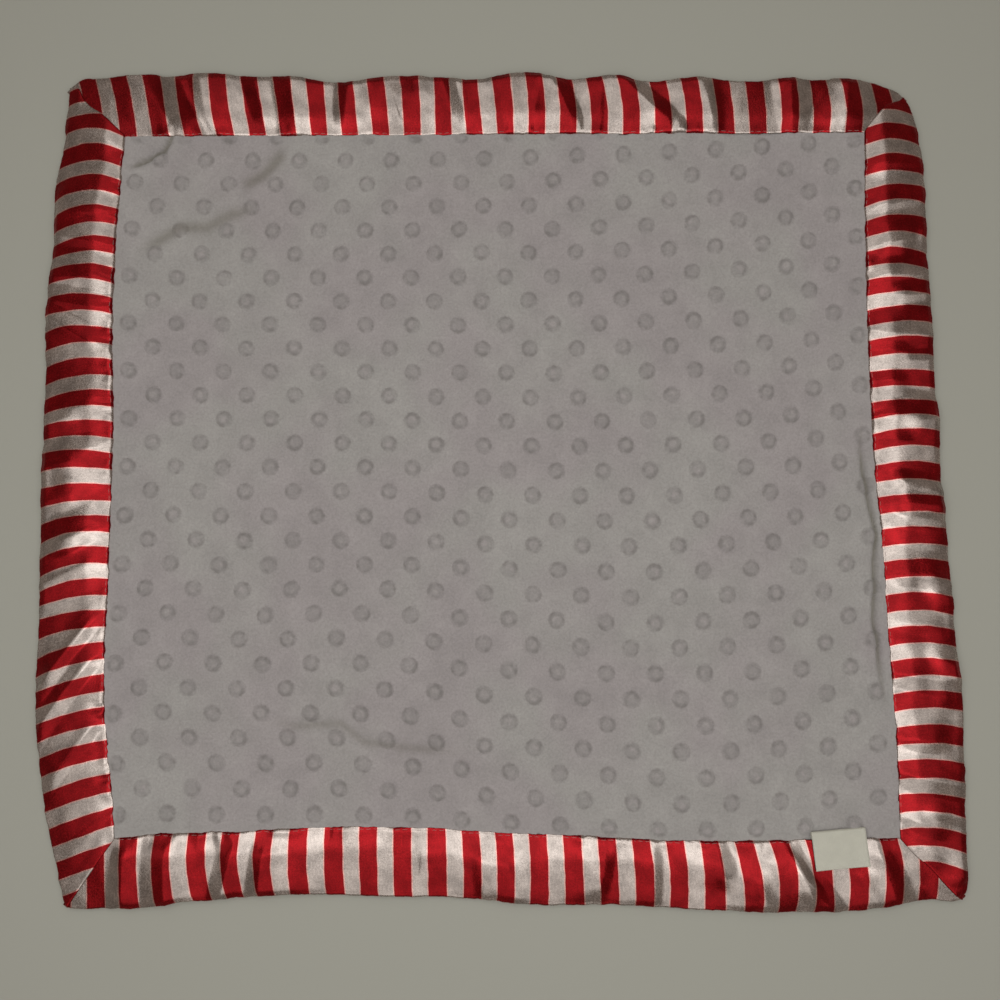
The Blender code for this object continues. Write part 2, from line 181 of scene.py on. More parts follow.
# How the stripes lean and bow on the sewn binding: share along the side, then how far their outer end
# and their middle are off, in shares of a stripe pair, along the side
STRIPE_LEAN_SHARES = {
    "top": ((0.0, -0.26, 0.04), (0.1, -0.31, -0.02), (0.2, -0.27, 0.02), (0.27, -0.18, 0.01),
            (0.35, -0.2, 0.02), (0.42, -0.07, 0.02), (0.48, -0.21, 0.0), (0.55, -0.09, 0.04),
            (0.62, -0.15, 0.06), (0.73, -0.15, 0.05), (0.82, -0.13, 0.01), (0.9, -0.02, 0.02),
            (1.0, -0.06, 0.05)),
    "bottom": ((0.0, 0.04, 0.02), (0.06, 0.0, -0.04), (0.13, 0.09, -0.07), (0.2, 0.0, -0.06),
               (0.3, 0.03, -0.01), (0.4, 0.02, 0.0), (0.46, 0.07, 0.04), (0.54, 0.04, 0.03),
               (0.6, 0.08, 0.0), (0.7, 0.12, 0.04), (0.76, 0.14, 0.03), (0.8, 0.26, 0.04),
               (0.86, 0.22, 0.07), (0.9, 0.23, 0.05), (0.94, 0.15, 0.04), (1.0, 0.13, 0.05)),
    "left": ((0.0, -0.27, -0.12), (0.08, -0.08, -0.14), (0.14, 0.14, -0.12), (0.21, -0.1, -0.11),
             (0.3, -0.01, -0.09), (0.39, 0.13, -0.1), (0.45, -0.07, -0.07), (0.53, 0.07, -0.06),
             (0.6, 0.17, -0.12), (0.66, 0.22, -0.1), (0.7, 0.16, -0.06), (0.76, 0.37, -0.05),
             (0.84, 0.34, -0.05), (1.0, 0.45, -0.02)),
    "right": ((0.0, -0.04, -0.12), (0.05, -0.05, -0.1), (0.11, -0.13, -0.11), (0.2, 0.05, -0.09),
              (0.27, -0.11, -0.07), (0.36, 0.01, -0.05), (0.45, -0.1, -0.1), (0.52, 0.0, -0.07),
              (0.6, -0.03, -0.07), (0.7, 0.02, -0.1), (0.81, -0.08, -0.08), (0.9, 0.02, -0.07),
              (1.0, 0.03, -0.1)),
}

# Folds across the binding, each a steep flank that faces away from the middle of its side: share along the
# side at the folded edge, the same at the seam, half width of the flank as a share of the side, steepness
# share, and the shares of the way from seam to edge between which it runs
FOLDS = {
    "top": ((0.112, 0.092, 0.02, 1.0, 0.0, 1.0), (0.15, 0.115, 0.008, 0.5, 0.0, 1.0),
            (0.215, 0.19, 0.009, 0.6, 0.25, 1.0), (0.255, 0.226, 0.014, 1.0, 0.05, 1.0),
            (0.275, 0.258, 0.004, 0.5, 0.0, 1.0), (0.33, 0.294, 0.01, 0.9, 0.15, 1.0),
            (0.352, 0.34, 0.01, 0.8, 0.45, 1.0), (0.378, 0.387, 0.004, 0.8, 0.1, 0.65),
            (0.408, 0.395, 0.009, 0.7, 0.6, 1.0), (0.425, 0.418, 0.006, 0.5, 0.05, 0.5),
            (0.456, 0.463, 0.01, 1.0, 0.1, 1.0), (0.497, 0.497, 0.005, 0.4, 0.0, 0.4),
            (0.536, 0.538, 0.008, 0.6, 0.1, 1.0), (0.576, 0.562, 0.011, 0.9, 0.0, 1.0),
            (0.588, 0.622, 0.01, 1.0, 0.0, 1.0), (0.64, 0.648, 0.004, 0.5, 0.0, 0.8),
            (0.672, 0.76, 0.013, 1.0, 0.0, 1.0), (0.68, 0.69, 0.005, 0.6, 0.0, 0.3),
            (0.768, 0.812, 0.014, 1.0, 0.0, 1.0), (0.8, 0.835, 0.004, 0.4, 0.0, 0.6),
            (0.872, 0.912, 0.012, 1.0, 0.0, 1.0), (0.945, 0.985, 0.016, 1.0, 0.0, 1.0)),
    "bottom": ((0.056, 0.008, 0.009, 1.0, 0.0, 1.0), (0.1, 0.055, 0.015, 1.0, 0.1, 1.0),
               (0.168, 0.15, 0.009, 0.9, 0.0, 1.0), (0.21, 0.19, 0.009, 0.9, 0.3, 1.0),
               (0.245, 0.24, 0.006, 0.3, 0.6, 1.0), (0.397, 0.397, 0.004, 0.6, 0.35, 0.65),
               (0.44, 0.43, 0.004, 0.5, 0.1, 0.5), (0.465, 0.46, 0.006, 0.6, 0.4, 1.0),
               (0.48, 0.47, 0.006, 0.5, 0.5, 0.9), (0.518, 0.5, 0.009, 0.7, 0.35, 1.0),
               (0.56, 0.582, 0.005, 0.5, 0.1, 0.6), (0.6, 0.638, 0.008, 0.9, 0.0, 0.8),
               (0.662, 0.694, 0.007, 0.8, 0.0, 1.0), (0.745, 0.778, 0.01, 1.0, 0.0, 0.5),
               (0.79, 0.815, 0.01, 1.0, 0.5, 1.0), (0.81, 0.845, 0.012, 0.6, 0.0, 1.0),
               (0.845, 0.862, 0.008, 1.0, 0.0, 0.75), (0.865, 0.86, 0.01, 0.8, 0.5, 1.0),
               (0.91, 0.93, 0.006, 0.4, 0.3, 1.0), (0.935, 0.972, 0.01, 0.9, 0.0, 1.0)),
    "left": ((0.03, -0.005, 0.022, 1.0, 0.0, 1.0), (0.12, 0.065, 0.017, 1.0, 0.15, 0.85),
             (0.155, 0.1, 0.013, 0.9, 0.0, 1.0), (0.175, 0.15, 0.016, 1.0, 0.0, 1.0),
             (0.225, 0.195, 0.018, 1.0, 0.0, 1.0), (0.262, 0.25, 0.01, 0.8, 0.0, 1.0),
             (0.28, 0.31, 0.011, 0.9, 0.0, 1.0), (0.39, 0.378, 0.02, 1.0, 0.0, 1.0),
             (0.42, 0.4, 0.008, 0.7, 0.6, 1.0), (0.457, 0.447, 0.011, 0.9, 0.0, 1.0),
             (0.475, 0.46, 0.008, 0.7, 0.5, 1.0), (0.505, 0.52, 0.01, 0.6, 0.0, 0.6),
             (0.535, 0.52, 0.008, 0.7, 0.5, 1.0), (0.59, 0.578, 0.01, 1.0, 0.0, 0.65),
             (0.6, 0.6, 0.012, 0.9, 0.45, 1.0), (0.645, 0.632, 0.02, 1.0, 0.0, 1.0),
             (0.765, 0.692, 0.011, 1.0, 0.0, 0.85), (0.81, 0.748, 0.011, 1.0, 0.0, 1.0),
             (0.878, 0.838, 0.008, 0.8, 0.0, 0.85), (0.94, 0.96, 0.006, 0.3, 0.0, 0.7)),
    "right": ((0.03, 0.0, 0.022, 1.0, 0.0, 1.0), (0.08, 0.035, 0.014, 0.9, 0.0, 1.0),
              (0.12, 0.1, 0.016, 1.0, 0.0, 1.0), (0.165, 0.14, 0.012, 0.9, 0.0, 1.0),
              (0.18, 0.165, 0.009, 0.8, 0.0, 0.6), (0.225, 0.205, 0.012, 1.0, 0.0, 1.0),
              (0.252, 0.24, 0.01, 0.9, 0.5, 1.0), (0.28, 0.275, 0.009, 0.6, 0.0, 1.0),
              (0.305, 0.29, 0.011, 1.0, 0.0, 1.0), (0.33, 0.318, 0.008, 0.6, 0.0, 0.5),
              (0.34, 0.335, 0.007, 0.8, 0.65, 1.0), (0.365, 0.36, 0.008, 0.7, 0.0, 0.4),
              (0.395, 0.38, 0.006, 0.7, 0.6, 1.0), (0.407, 0.405, 0.011, 1.0, 0.0, 1.0),
              (0.42, 0.415, 0.008, 0.6, 0.6, 1.0), (0.45, 0.44, 0.009, 0.5, 0.0, 0.5),
              (0.505, 0.495, 0.008, 0.8, 0.3, 1.0), (0.54, 0.545, 0.008, 0.7, 0.0, 1.0),
              (0.548, 0.56, 0.009, 0.9, 0.35, 1.0), (0.575, 0.585, 0.012, 0.9, 0.0, 1.0),
              (0.625, 0.65, 0.009, 0.9, 0.1, 0.75), (0.66, 0.65, 0.012, 0.9, 0.7, 1.0),
              (0.69, 0.71, 0.007, 0.6, 0.1, 0.6), (0.74, 0.745, 0.012, 1.0, 0.7, 1.0),
              (0.755, 0.787, 0.011, 1.0, 0.0, 1.0), (0.775, 0.8, 0.008, 0.7, 0.7, 1.0),
              (0.83, 0.87, 0.008, 0.8, 0.1, 0.6), (0.88, 0.922, 0.011, 1.0, 0.0, 1.0),
              (0.915, 0.955, 0.006, 0.6, 0.5, 1.0), (0.935, 0.975, 0.006, 0.8, 0.0, 0.6),
              (0.97, 1.0, 0.008, 0.5, 0.4, 1.0), (0.975, 1.05, 0.0025, 2.2, 0.85, 1.0),
              (0.99, 1.09, 0.002, 2.2, 0.8, 1.0)),
}

# Creases in the plush: points in shares of the panel's width and height, then depth and half width
CREASES = (
    (((-0.425, 0.52), (-0.446, 0.479), (-0.473, 0.463), (-0.497, 0.452)), 0.0013, 0.0013),
    (((-0.275, 0.485), (-0.308, 0.445), (-0.345, 0.42)), 0.001, 0.0035),
    (((-0.3, 0.398), (-0.348, 0.385), (-0.382, 0.365), (-0.416, 0.365), (-0.45, 0.343), (-0.485, 0.32)),
     0.0009, 0.0034),
    (((-0.31, -0.352), (-0.257, -0.362), (-0.199, -0.359), (-0.172, -0.385), (-0.112, -0.392),
      (-0.076, -0.393), (-0.02, -0.405)), 0.0007, 0.0022),
    (((0.497, 0.12), (0.484, 0.051), (0.4853, 0.0085), (0.4897, -0.044), (0.4943, -0.084), (0.4885, -0.122),
      (0.487, -0.162), (0.4834, -0.205), (0.4866, -0.24), (0.486, -0.269), (0.489, -0.314),
      (0.4937, -0.35)), 0.0013, 0.001),
)

# Pull of the lying plush to the right and away, in metres: even, then in step with the shares right and
# away of the middle, with the first one squared, with both and with the second one squared
PILE_PULL = (
    (0.0034, -0.0012, -0.0005, -0.0015, 0.0001, -0.0024),
    (-0.0017, 0.0009, 0.0012, 0.0038, 0.0023, 0.0007),
)

# Softboxes that hang level round the camera: middle to the right, away and up, width and depth, in metres,
# then the share of the softboxes' radiance
SOFTBOXES = {
    "softbox_near": (0.03, -0.6, 0.75, 1.0, 0.95, 0.82),
    "softbox_far": (-0.085, 0.7, 0.75, 0.77, 1.0, 0.76),
    "softbox_left": (-0.56, -0.15, 0.75, 0.68, 0.55, 0.57),
    "softbox_right": (0.56, -0.15, 0.75, 0.68, 0.55, 0.55),
    "softbox_middle": (0.0, -0.02, 0.45, 0.54, 0.44, 1.25),
}

# Profile of a raised dot: share of its radius out, then share of its height up
DOT_PROFILE = ((0.3, 1.0), (0.56, 0.92), (0.78, 0.7), (0.96, 0.3), (1.12, -0.08), (1.36, -0.06),
               (1.75, 0.0))
DOT_SEGMENTS = 12

# Waves of the lying plush, each with its height and length in metres and its seed
FRONT_WAVES = ((0.0003, 0.045, 3.7), (0.00012, 0.013, 8.1))
BACK_WAVE = (0.00025, 0.03, 6.2)

# How far the dots drift off their rows, and the share by which they differ in height, each with the length
# of its waves
DOT_DRIFT = (0.0006, 0.03)
DOT_UNEVENNESS = (0.2, 0.02)

# Distances in from the seam over which the panels' forms come in
DOT_START = (-0.0005, 0.003)
DRIFT_START = (0.0, 0.02)
ROLL_START = (0.0, 0.006)
BACK_ROLL_START = (0.0, 0.01)
CREASE_START = (-0.001, 0.003)

# Swell of the plush along the seam: height, distance in from the seam and half width
SEAM_SWELL = (0.0003, 0.004, 0.0022)

# Pile that stands up against the binding: height, share by which its tufts differ and their size, then the
# distances in from the seam where it starts, stands, starts to fall and has fallen
PILE_STAND = (0.0008, 0.25, 0.0016)
PILE_STAND_REACH = (-0.0013, -0.0006, 0.0006, 0.0032)

# Swell beside a crease: height as a share of the crease's depth, then its distance and half width in half
# widths of the crease
CREASE_SWELL = (0.45, 2.0, 1.1)

# Shares of a crease's length over which it fades at its two ends, the depth at which its painted shade is
# darkest, and the share of the darker colour there
CREASE_FADES = (0.2, 0.25)
CREASE_SHADE_DEPTH = 0.0012
CREASE_SHADE = 0.8

# Longest edges of the front plush, cut by cut, where it is fine: in a band, by its middle's distance in from
# the seam and half its width, and where a crease moves the plush by more than the last number
FINE_EDGES = (0.0014, 0.0007)
FINE_BAND = (0.001, 0.0025)
FINE_CREASE = 0.00006

# How far the sheets of the panels are trimmed past the seams before they run on into the binding, the squares
# of the back one's sheet, and the distance at which neighbouring cells of the front one are welded
TRIM_MARGIN = 0.0015
BACK_GRID = (120, 112)
WELD_DISTANCE = 0.00002

# Gap between the panels' rims, and how far below its level the front one's underside lies inside the ramp
RIM_GAP = 0.0003
MIDDLE_DROP = 0.0001

# Noise seeds of the sides, and how far their small wrinkles lean along the side as a share of the way across
SIDE_SEEDS = {"top": 11.3, "bottom": 23.9, "left": 37.1, "right": 53.7}
WRINKLE_LEANS = {"top": -0.35, "bottom": 0.3, "left": 0.75, "right": -0.55}

# Unevenness of the binding's inner edge: height and length of its waves, and the share of the side over
# which it fades at both ends
SCALLOPS = ((0.00042, 0.0038), (0.0002, 0.0012))
END_SHARE = 0.03

# Lengths of the waves of the satin's noise, along the side and across it
WANDER_WAVE = (0.022, 0.02)
WRINKLE_WAVE = (0.009, 0.04)
PUCKER_WAVE = (0.0045, 0.02)
BACK_WRINKLE_WAVE = (0.009, 0.02)

# How far the wrinkles wander along the side, and the share of it by which the puckers do
WANDER = 0.004
PUCKER_WANDER = 0.3

# Puckers: length of a group along the side, noise between which a group fades in, their reach from the seam,
# and the width over which they start
PUCKER_GROUP = 0.012
PUCKER_FADE = (-0.2, 0.4)
PUCKER_REACH = 0.0055
PUCKER_START = 0.001

# Share of the folds' height at the seam, the width over which they grow to all of it, and the share that the
# label presses out of them
FOLD_AT_SEAM = 0.3
GROWN_WIDTH = 0.01
LABEL_CALM = 0.85

# Share of the way across over which a fold fades in and out: outside its own span and inside it
FOLD_FADE = (0.25, 0.1)

# Where satin lies over satin: distance along the side over which a mitre's shape fades, distances from the
# mitre where the lift starts and is full, and how high the layers under it and the label lift it
MITRE_FADE = 0.006
MITRE_REACH = (0.007, 0.001)
MITRE_LIFT = 0.0004
LABEL_LIFT = 0.00035

# Front layer: widths between which it rises to the puff, how late it falls to the folded edge, and where its
# wrinkles calm down towards that, as a share of the way, and by which share
PUFF_WIDTH = (0.002, 0.0085)
FALL_POWER = 1.7
EDGE_CALM_START = 0.9
EDGE_CALM = 0.3

# Depth of the groove along the topstitching in the front and the back layer, and its half width
FRONT_GROOVE = 0.00006
BACK_GROOVE = 0.00018
GROOVE_WIDTH = 0.0006

# Back layer: height of its wrinkles, the widths between which they start, and the share of the way across
# where the ripples of the edge start
BACK_WRINKLE = 0.0002
BACK_WRINKLE_START = (0.002, 0.01)
BACK_RIPPLE_START = 0.45

# Steps round the folded strip and along it, and the length of its rounded fold
HEM_STEPS, ROUND_STEPS, FRONT_STEPS, NOSE_STEPS, BACK_STEPS = 4, 6, 34, 10, 16
SIDE_STEPS = 300
FOLD_ROUND = 0.0009

# Rows past the end of a run: how far each goes on past the mitre and how far it drops. An upper run turns
# its edge down, and a lower one runs on under it
UPPER_END_ROWS = ((0.00012, -0.00012), (0.0002, -0.00034))
LOWER_END_ROWS = ((0.0008, 0.0), (0.0018, 0.0))

# Width across the binding that the stripes' lean and bow are written for
LEAN_WIDTH = 0.024

# Topstitching: length of a side without it, and the share of its thickness that sinks into the satin
TOPSTITCH_MARGIN = 0.004
THREAD_SUNK = 0.1

# Mitre stitches: distance from both ends of the mitre, pitch, reach to both sides, depth under the satin,
# radius as a share of the thread's diameter, and the share of the side that gives their way
MITRE_MARGIN = 0.003
MITRE_PITCH = 0.0031
MITRE_STITCH = (0.0005, 0.0006)
MITRE_DEPTH = 0.0003
MITRE_THREAD = 0.35
MITRE_SIDE_SHARE = 0.004

# Label: squares across and along it, how far its fold reaches past its line, how far its long edges and its
# free end curl up, and how far round it the satin is pressed
LABEL_GRID = (26, 64)
LABEL_SEAT = 0.0003
LABEL_CURL = (0.00035, 0.0003)
LABEL_PRESS = 0.005

# Label's stitches: half length of their row, its distance from the fold, and the share of the thread's
# thickness by which they lie above the tape
LABEL_ROW = 0.0085
LABEL_ROW_PLACE = 0.0018
LABEL_THREAD_RISE = 0.3

# Pile colours past the two that a user sets: the laid pile, painted shade for the dots' flanks, a painted
# highlight for their crowns and painted shade for the creases; and the pink line where the stripes' print
# meets
LAID_PILE = "969791"
FLANK_PAINTED_SHADE = "706C68"
CROWN_PAINTED_HIGHLIGHT = "A39E9C"
CREASE_PAINTED_SHADE = "686459"
PRINT_EDGE = "D9A49B"

# Gap between floor and cloth, width of the camera's sensor in millimetres, and its nearest sight in metres
FLOOR_DROP = 0.00005
SENSOR_WIDTH = 36.0
CLIP_START = 0.01

# Sockets of a Mix node for colours, by number because it has other ones of the same names
FACTOR, FIRST, SECOND, MIXED = 0, 6, 7, 2


def linear_color(code):
    """Linear colour of an sRGB hex code."""
    values = [int(code[place:place + 2], 16) / 255.0 for place in (0, 2, 4)]
    return tuple(value / 12.92 if value <= 0.04045 else ((value + 0.055) / 1.055) ** 2.4 for value in values)


def length_property(name, default, description):
    return FloatProperty(name=name, description=description, default=default, precision=5, unit="LENGTH")


def color_property(name, code, description):
    return FloatVectorProperty(name=name, description=description, default=linear_color(code),
                               subtype="COLOR", size=3, min=0.0, max=1.0)


class LoveyPanels(bpy.types.PropertyGroup):
    """Sizes and colours of the two plush panels and the raised dots"""
    width: length_property("Width", 0.3015, "Front panel from seam to seam")
    height: length_property("Height", 0.2795, "Front panel from the near seam to the far one")
    tuck: length_property("Tuck", 0.0085, "How far the panels reach into the binding")
    ramp: length_property("Ramp", 0.012, "Width of the strip where the panels rise into the binding")
    back_rise: length_property("Back rise", 0.0008, "Rise of the panels where they enter the binding")
    back_thickness: length_property("Back thickness", 0.0012, "Thickness of the back panel")
    front_low: length_property("Front underside", 0.0015, "Underside of the front panel in its middle")
    front_thickness: length_property("Front thickness", 0.0015, "Thickness of the front panel")
    lean: length_property("Lean", 0.0025, "How far the far edge lies left and the near edge right")
    seam_bow: length_property("Seam bow", 0.005, "Most that a seam bows off the straight")
    dot_diameter: length_property("Dot diameter", 0.0067, "Diameter of a raised dot")
    dot_height: length_property("Dot height", 0.0011, "Height of a raised dot")
    dot_pitch: length_property("Dot pitch", 0.019, "Distance between the dots of a row")
    dot_row_pitch: length_property("Row pitch", 0.00979, "Distance between two rows of dots")
    dot_first_x: length_property("First dot, right", -0.0058, "Place of one dot, to the right")
    dot_first_y: length_property("First dot, away", 0.0126, "Place of one dot, away from the viewer")
    dot_slant: FloatProperty(name="Dot slant", description="Slant of the dot columns against the cut",
                             default=0.018)
    pile_color: color_property("Pile", "9A9594", "Plush between the dots")
    dot_color: color_property("Dot", "83807E", "Plush on the dots")


class LoveyBinding(bpy.types.PropertyGroup):
    """Sizes and colours of the satin binding and its stripes"""
    width: length_property("Width", 0.0265, "Binding from the seam to the folded edge")
    hem_width: length_property("Hem width", 0.006, "Width that is turned under")
    satin_thickness: length_property("Satin thickness", 0.0003, "Thickness of one layer of satin")
    hem_level: length_property("Hem level", 0.00405, "Height of the turned-under layer")
    front_level: length_property("Front level", 0.0046, "Height of the front layer at the seam")
    puff_level: length_property("Puff level", 0.00485, "Height of the front layer past the hem")
    fold_height: length_property("Fold height", 0.0022, "Thickness of the folded edge")
    ripple_height: length_property("Ripple height", 0.0012, "Height of the ripples at the folded edge")
    fold_steepness: FloatProperty(name="Fold steepness", description="Slope of the folds across the binding",
                                  default=0.42)
    fold_limit: length_property("Fold limit", 0.002, "Most that a fold across the binding drops")
    fold_rise: length_property("Fold rise", 0.009, "Distance over which a fold across the binding rises")
    wrinkle_height: length_property("Wrinkle height", 0.0001, "Height of the small wrinkles of the satin")
    pucker_height: length_property("Pucker height", 0.0008, "Height of the puckers at the seam")
    stripe_pair: length_property("Stripe pair", 0.0131, "Width of a red and a white stripe together")
    white_color: color_property("White", "B1A7A0", "White stripes")
    red_color: color_property("Red", "8C1419", "Red stripes")


class LoveyThread(bpy.types.PropertyGroup):
    """Sizes and colour of the stitches"""
    diameter: length_property("Diameter", 0.00014, "Thickness of the thread")
    stitch: length_property("Stitch", 0.0022, "Length of thread that shows of a stitch")
    pitch: length_property("Pitch", 0.0028, "Distance from stitch to stitch")
    inset: length_property("Inset", 0.0008, "Distance of the topstitching from the binding's inner edge")
    color: color_property("Thread", "A08A84", "White polyester thread")


class LoveyLabel(bpy.types.PropertyGroup):
    """Sizes, place and colour of the label"""
    width: length_property("Width", 0.0205, "Width of the label")
    length: length_property("Length", 0.0139, "Free length of the label, from its fold")
    thickness: length_property("Thickness", 0.0003, "Thickness of the tape")
    stand: length_property("Stand", 0.0033, "How far the fold stands on the plush, off the seam")
    hidden: length_property("Sewn end", 0.0045, "Length that the binding covers")
    low_level: length_property("Low level", 0.00405, "Height of the sewn end")
    turn: FloatProperty(name="Turn", description="How far the label is turned", default=math.radians(5.5),
                        subtype="ANGLE")
    place_share: FloatProperty(name="Place", description="Share along the near side", default=0.9227)
    color: color_property("Tape", "B9B9AB", "Pale woven tape")


class LoveyStage(bpy.types.PropertyGroup):
    """Floor, light and camera"""
    floor_size: length_property("Floor size", 6.0, "Side of the floor")
    softbox_radiance: FloatProperty(name="Softbox radiance", default=1.0,
                                    description="In watts per steradian and square metre")
    sky_strength: FloatProperty(name="Sky", description="Strength of the even light all round", default=0.2)
    focal_length: FloatProperty(name="Focal length", description="In millimetres", default=34.2)
    camera_place: FloatVectorProperty(name="Camera", description="Place of the camera", size=3,
                                      default=(0.0117, -0.0411, 0.378), precision=4, unit="LENGTH")
    camera_turn: FloatVectorProperty(name="Camera turn", description="Turn of the camera", size=3,
                                     default=tuple(math.radians(turn) for turn in (4.78, 1.31, 0.03)),
                                     subtype="EULER")
    sky_color: color_property("Sky colour", "FFE9D9", "Colour of the even light all round")
    floor_color: color_property("Floor", "9E9F95", "Pale floor")


def read_shares(rows, along, column=1):
    """Values of a share table at places along its side, on a smooth curve through its rows."""
    table = np.array(rows)
    places, values = table[:, 0], table[:, column]
    slopes = np.gradient(values, places)
    along = np.asarray(along, float)
    row = np.clip(np.searchsorted(places, along) - 1, 0, len(places) - 2)
    span = places[row + 1] - places[row]
    part = (along - places[row]) / span
    start_weight = 2.0 * part ** 3 - 3.0 * part ** 2 + 1.0
    start_slope = span * slopes[row] * (part ** 3 - 2.0 * part ** 2 + part)
    end_slope = span * slopes[row + 1] * (part ** 3 - part ** 2)
    return values[row] * start_weight + values[row + 1] * (1.0 - start_weight) + start_slope + end_slope


def smooth_step(low, high, value):
    """0 at the low value and 1 at the high one, with a soft start and end. The low value may be the larger."""
    part = np.clip((value - low) / (high - low), 0.0, 1.0)
    return part * part * (3.0 - 2.0 * part)


def noise_field(across, up, seed):
    """Smooth noise, about -1 to 1, at places given in noise cells."""
    places = np.stack(np.broadcast_arrays(across, up), axis=-1)
    values = [noise.noise((x, y, seed)) for x, y in places.reshape(-1, 2).tolist()]
    return np.array(values).reshape(places.shape[:-1])


def ridges(field):
    """Noise turned to wrinkles, with a sharp crest wherever it was zero."""
    return 1.0 - 2.0 * np.abs(field)


def seam_corner(name):
    """Place of a corner of the seam, before the blanket is centred."""
    panels = bpy.context.scene.lovey_panels
    shares = SEAM_CORNER_SHARES[name]
    right = 0.5 if name.endswith("right") else -0.5
    away = 0.5 if name.startswith("top") else -0.5
    return np.array((right * panels.width + panels.lean * shares[0],
                     away * panels.height + panels.lean * shares[1]))


def outer_corner(name):
    """Place of a corner of the folded edge, before the blanket is centred."""
    return seam_corner(name) + bpy.context.scene.lovey_binding.width * np.array(OUTER_CORNER_SHARES[name])


def chord(start, end):
    """Unit vectors along a side's chord and square to it, away from the blanket's middle."""
    run = (end - start) / np.linalg.norm(end - start)
    square = np.array((-run[1], run[0]))
    return run, square if square @ (start + end) > 0.0 else -square


def side_point(corner, bow, side, along):
    """Places at shares along a side between its corners, off its chord by a bow."""
    start, end = (corner(name) for name in SIDE_ENDS[side])
    along = np.asarray(along, float)
    return start + (end - start) * along[..., None] + bow[..., None] * chord(start, end)[1]


def seam_point(side, along):
    bow = bpy.context.scene.lovey_panels.seam_bow * read_shares(SEAM_SHARES[side], along)
    return side_point(seam_corner, bow, side, along)


def edge_point(side, along):
    bow = bpy.context.scene.lovey_binding.width * read_shares(EDGE_SHARES[side], along)
    return side_point(outer_corner, bow, side, along)


def fold_point(side, along):
    """Places on the folded edge, with what each corner's pushes add to it."""
    width = bpy.context.scene.lovey_binding.width
    point = edge_point(side, along)
    pushed = 0.0 * point
    for name in SIDE_ENDS[side]:
        distance = np.linalg.norm(point - outer_corner(name), axis=-1)[..., None]
        for right, away, reach in CORNER_PUSH_SHARES[name]:
            pushed = pushed + width * np.array((right, away)) * np.exp(-(distance / (width * reach)) ** 2)
    return point + pushed


def outline_centre():
    """Middle of the box round the folded edge, which is where the frame has its origin."""
    places = np.linspace(0.0, 1.0, 29)
    points = np.concatenate([edge_point(side, places) for side in SIDE_ENDS])
    return (points.min(axis=0) + points.max(axis=0)) / 2.0


def lay(flat):
    """Plan places on the lying panel of points of the flat one, between its four bowed seams."""
    panels = bpy.context.scene.lovey_panels
    half = np.array((panels.width, panels.height)) / 2.0
    inside = np.clip(flat, -half, half)
    across, up = (inside / (2.0 * half) + 0.5).T
    between_sides = (seam_point("left", 1.0 - up) * (1.0 - across)[:, None]
                     + seam_point("right", 1.0 - up) * across[:, None])
    between_ends = (seam_point("bottom", across) * (1.0 - up)[:, None]
                    + seam_point("top", across) * up[:, None])
    low, high = (seam_corner(level + "_left")
                 + np.outer(across, seam_corner(level + "_right") - seam_corner(level + "_left"))
                 for level in ("bottom", "top"))
    bowed = between_sides + between_ends - low - (high - low) * up[:, None]
    return bowed + (flat - inside) - outline_centre()


def from_seam(flat):
    """How far points of the flat panel are inside its seams."""
    panels = bpy.context.scene.lovey_panels
    return np.minimum(panels.width / 2.0 - np.abs(flat[:, 0]), panels.height / 2.0 - np.abs(flat[:, 1]))


def waves(flat, length, seed):
    """Noise over the flat panel with waves of one length."""
    return noise_field(flat[:, 0] / length, flat[:, 1] / length, seed)


def crease_depth(flat):
    """How far the creases press the plush down, with the low swell that stands beside each one."""
    panels = bpy.context.scene.lovey_panels
    swell, swell_place, swell_width = CREASE_SWELL
    depth = np.zeros(len(flat))
    for shares, crease, half_width in CREASES:
        points = np.array(shares) * (panels.width, panels.height)
        nearest = np.full(len(flat), np.inf)
        place = np.zeros(len(flat))
        for number, (start, end) in enumerate(zip(points, points[1:])):
            run = end - start
            part = np.clip((flat - start) @ run / (run @ run), 0.0, 1.0)
            distance = np.linalg.norm(flat - start - part[:, None] * run, axis=1)
            closer = distance < nearest
            nearest = np.where(closer, distance, nearest)
            place = np.where(closer, (number + part) / (len(points) - 1), place)
        fade = smooth_step(0.0, CREASE_FADES[0], place) * smooth_step(0.0, CREASE_FADES[1], 1.0 - place)
        off = nearest / half_width
        valley = np.exp(-off ** 2) - swell * np.exp(-((off - swell_place) / swell_width) ** 2)
        depth += crease * fade * valley
    return depth


def panel_rise(flat):
    """How far the panels rise towards the layers of the binding."""
    panels = bpy.context.scene.lovey_panels
    return panels.back_rise * smooth_step(panels.ramp, 0.0, from_seam(flat))


def panel_top(flat):
    """Height of the front panel's pile without its dots."""
    panels = bpy.context.scene.lovey_panels
    inside = from_seam(flat)
    swell_height, swell_place, swell_width = SEAM_SWELL
    swell = swell_height * np.exp(-((inside - swell_place) / swell_width) ** 2)
    # The pile stands up against the binding's edge, ragged like its tufts, but not under the label
    stand, raggedness, tuft = PILE_STAND
    start, up, falling, down = PILE_STAND_REACH
    ragged = 1.0 + raggedness * waves(flat, tuft, 4.4)
    clear = 1.0 - label_cover(lay(flat))
    standing = stand * ragged * clear * smooth_step(start, up, inside) * smooth_step(down, falling, inside)
    roll = sum(height * waves(flat, length, seed) for height, length, seed in FRONT_WAVES)
    level = panels.front_low + panels.front_thickness + panel_rise(flat)
    creased = crease_depth(flat) * smooth_step(*CREASE_START, inside)
    return level + swell + standing + smooth_step(*ROLL_START, inside) * roll - creased


def set_points(mesh, points):
    mesh.vertices.foreach_set("co", np.asarray(points, np.float32).ravel())
    mesh.update()


def get_points(mesh):
    """Places of the mesh's vertices, row by row."""
    points = np.zeros(len(mesh.vertices) * 3, np.float32)
    mesh.vertices.foreach_get("co", points)
    return points.reshape(-1, 3).astype(float)


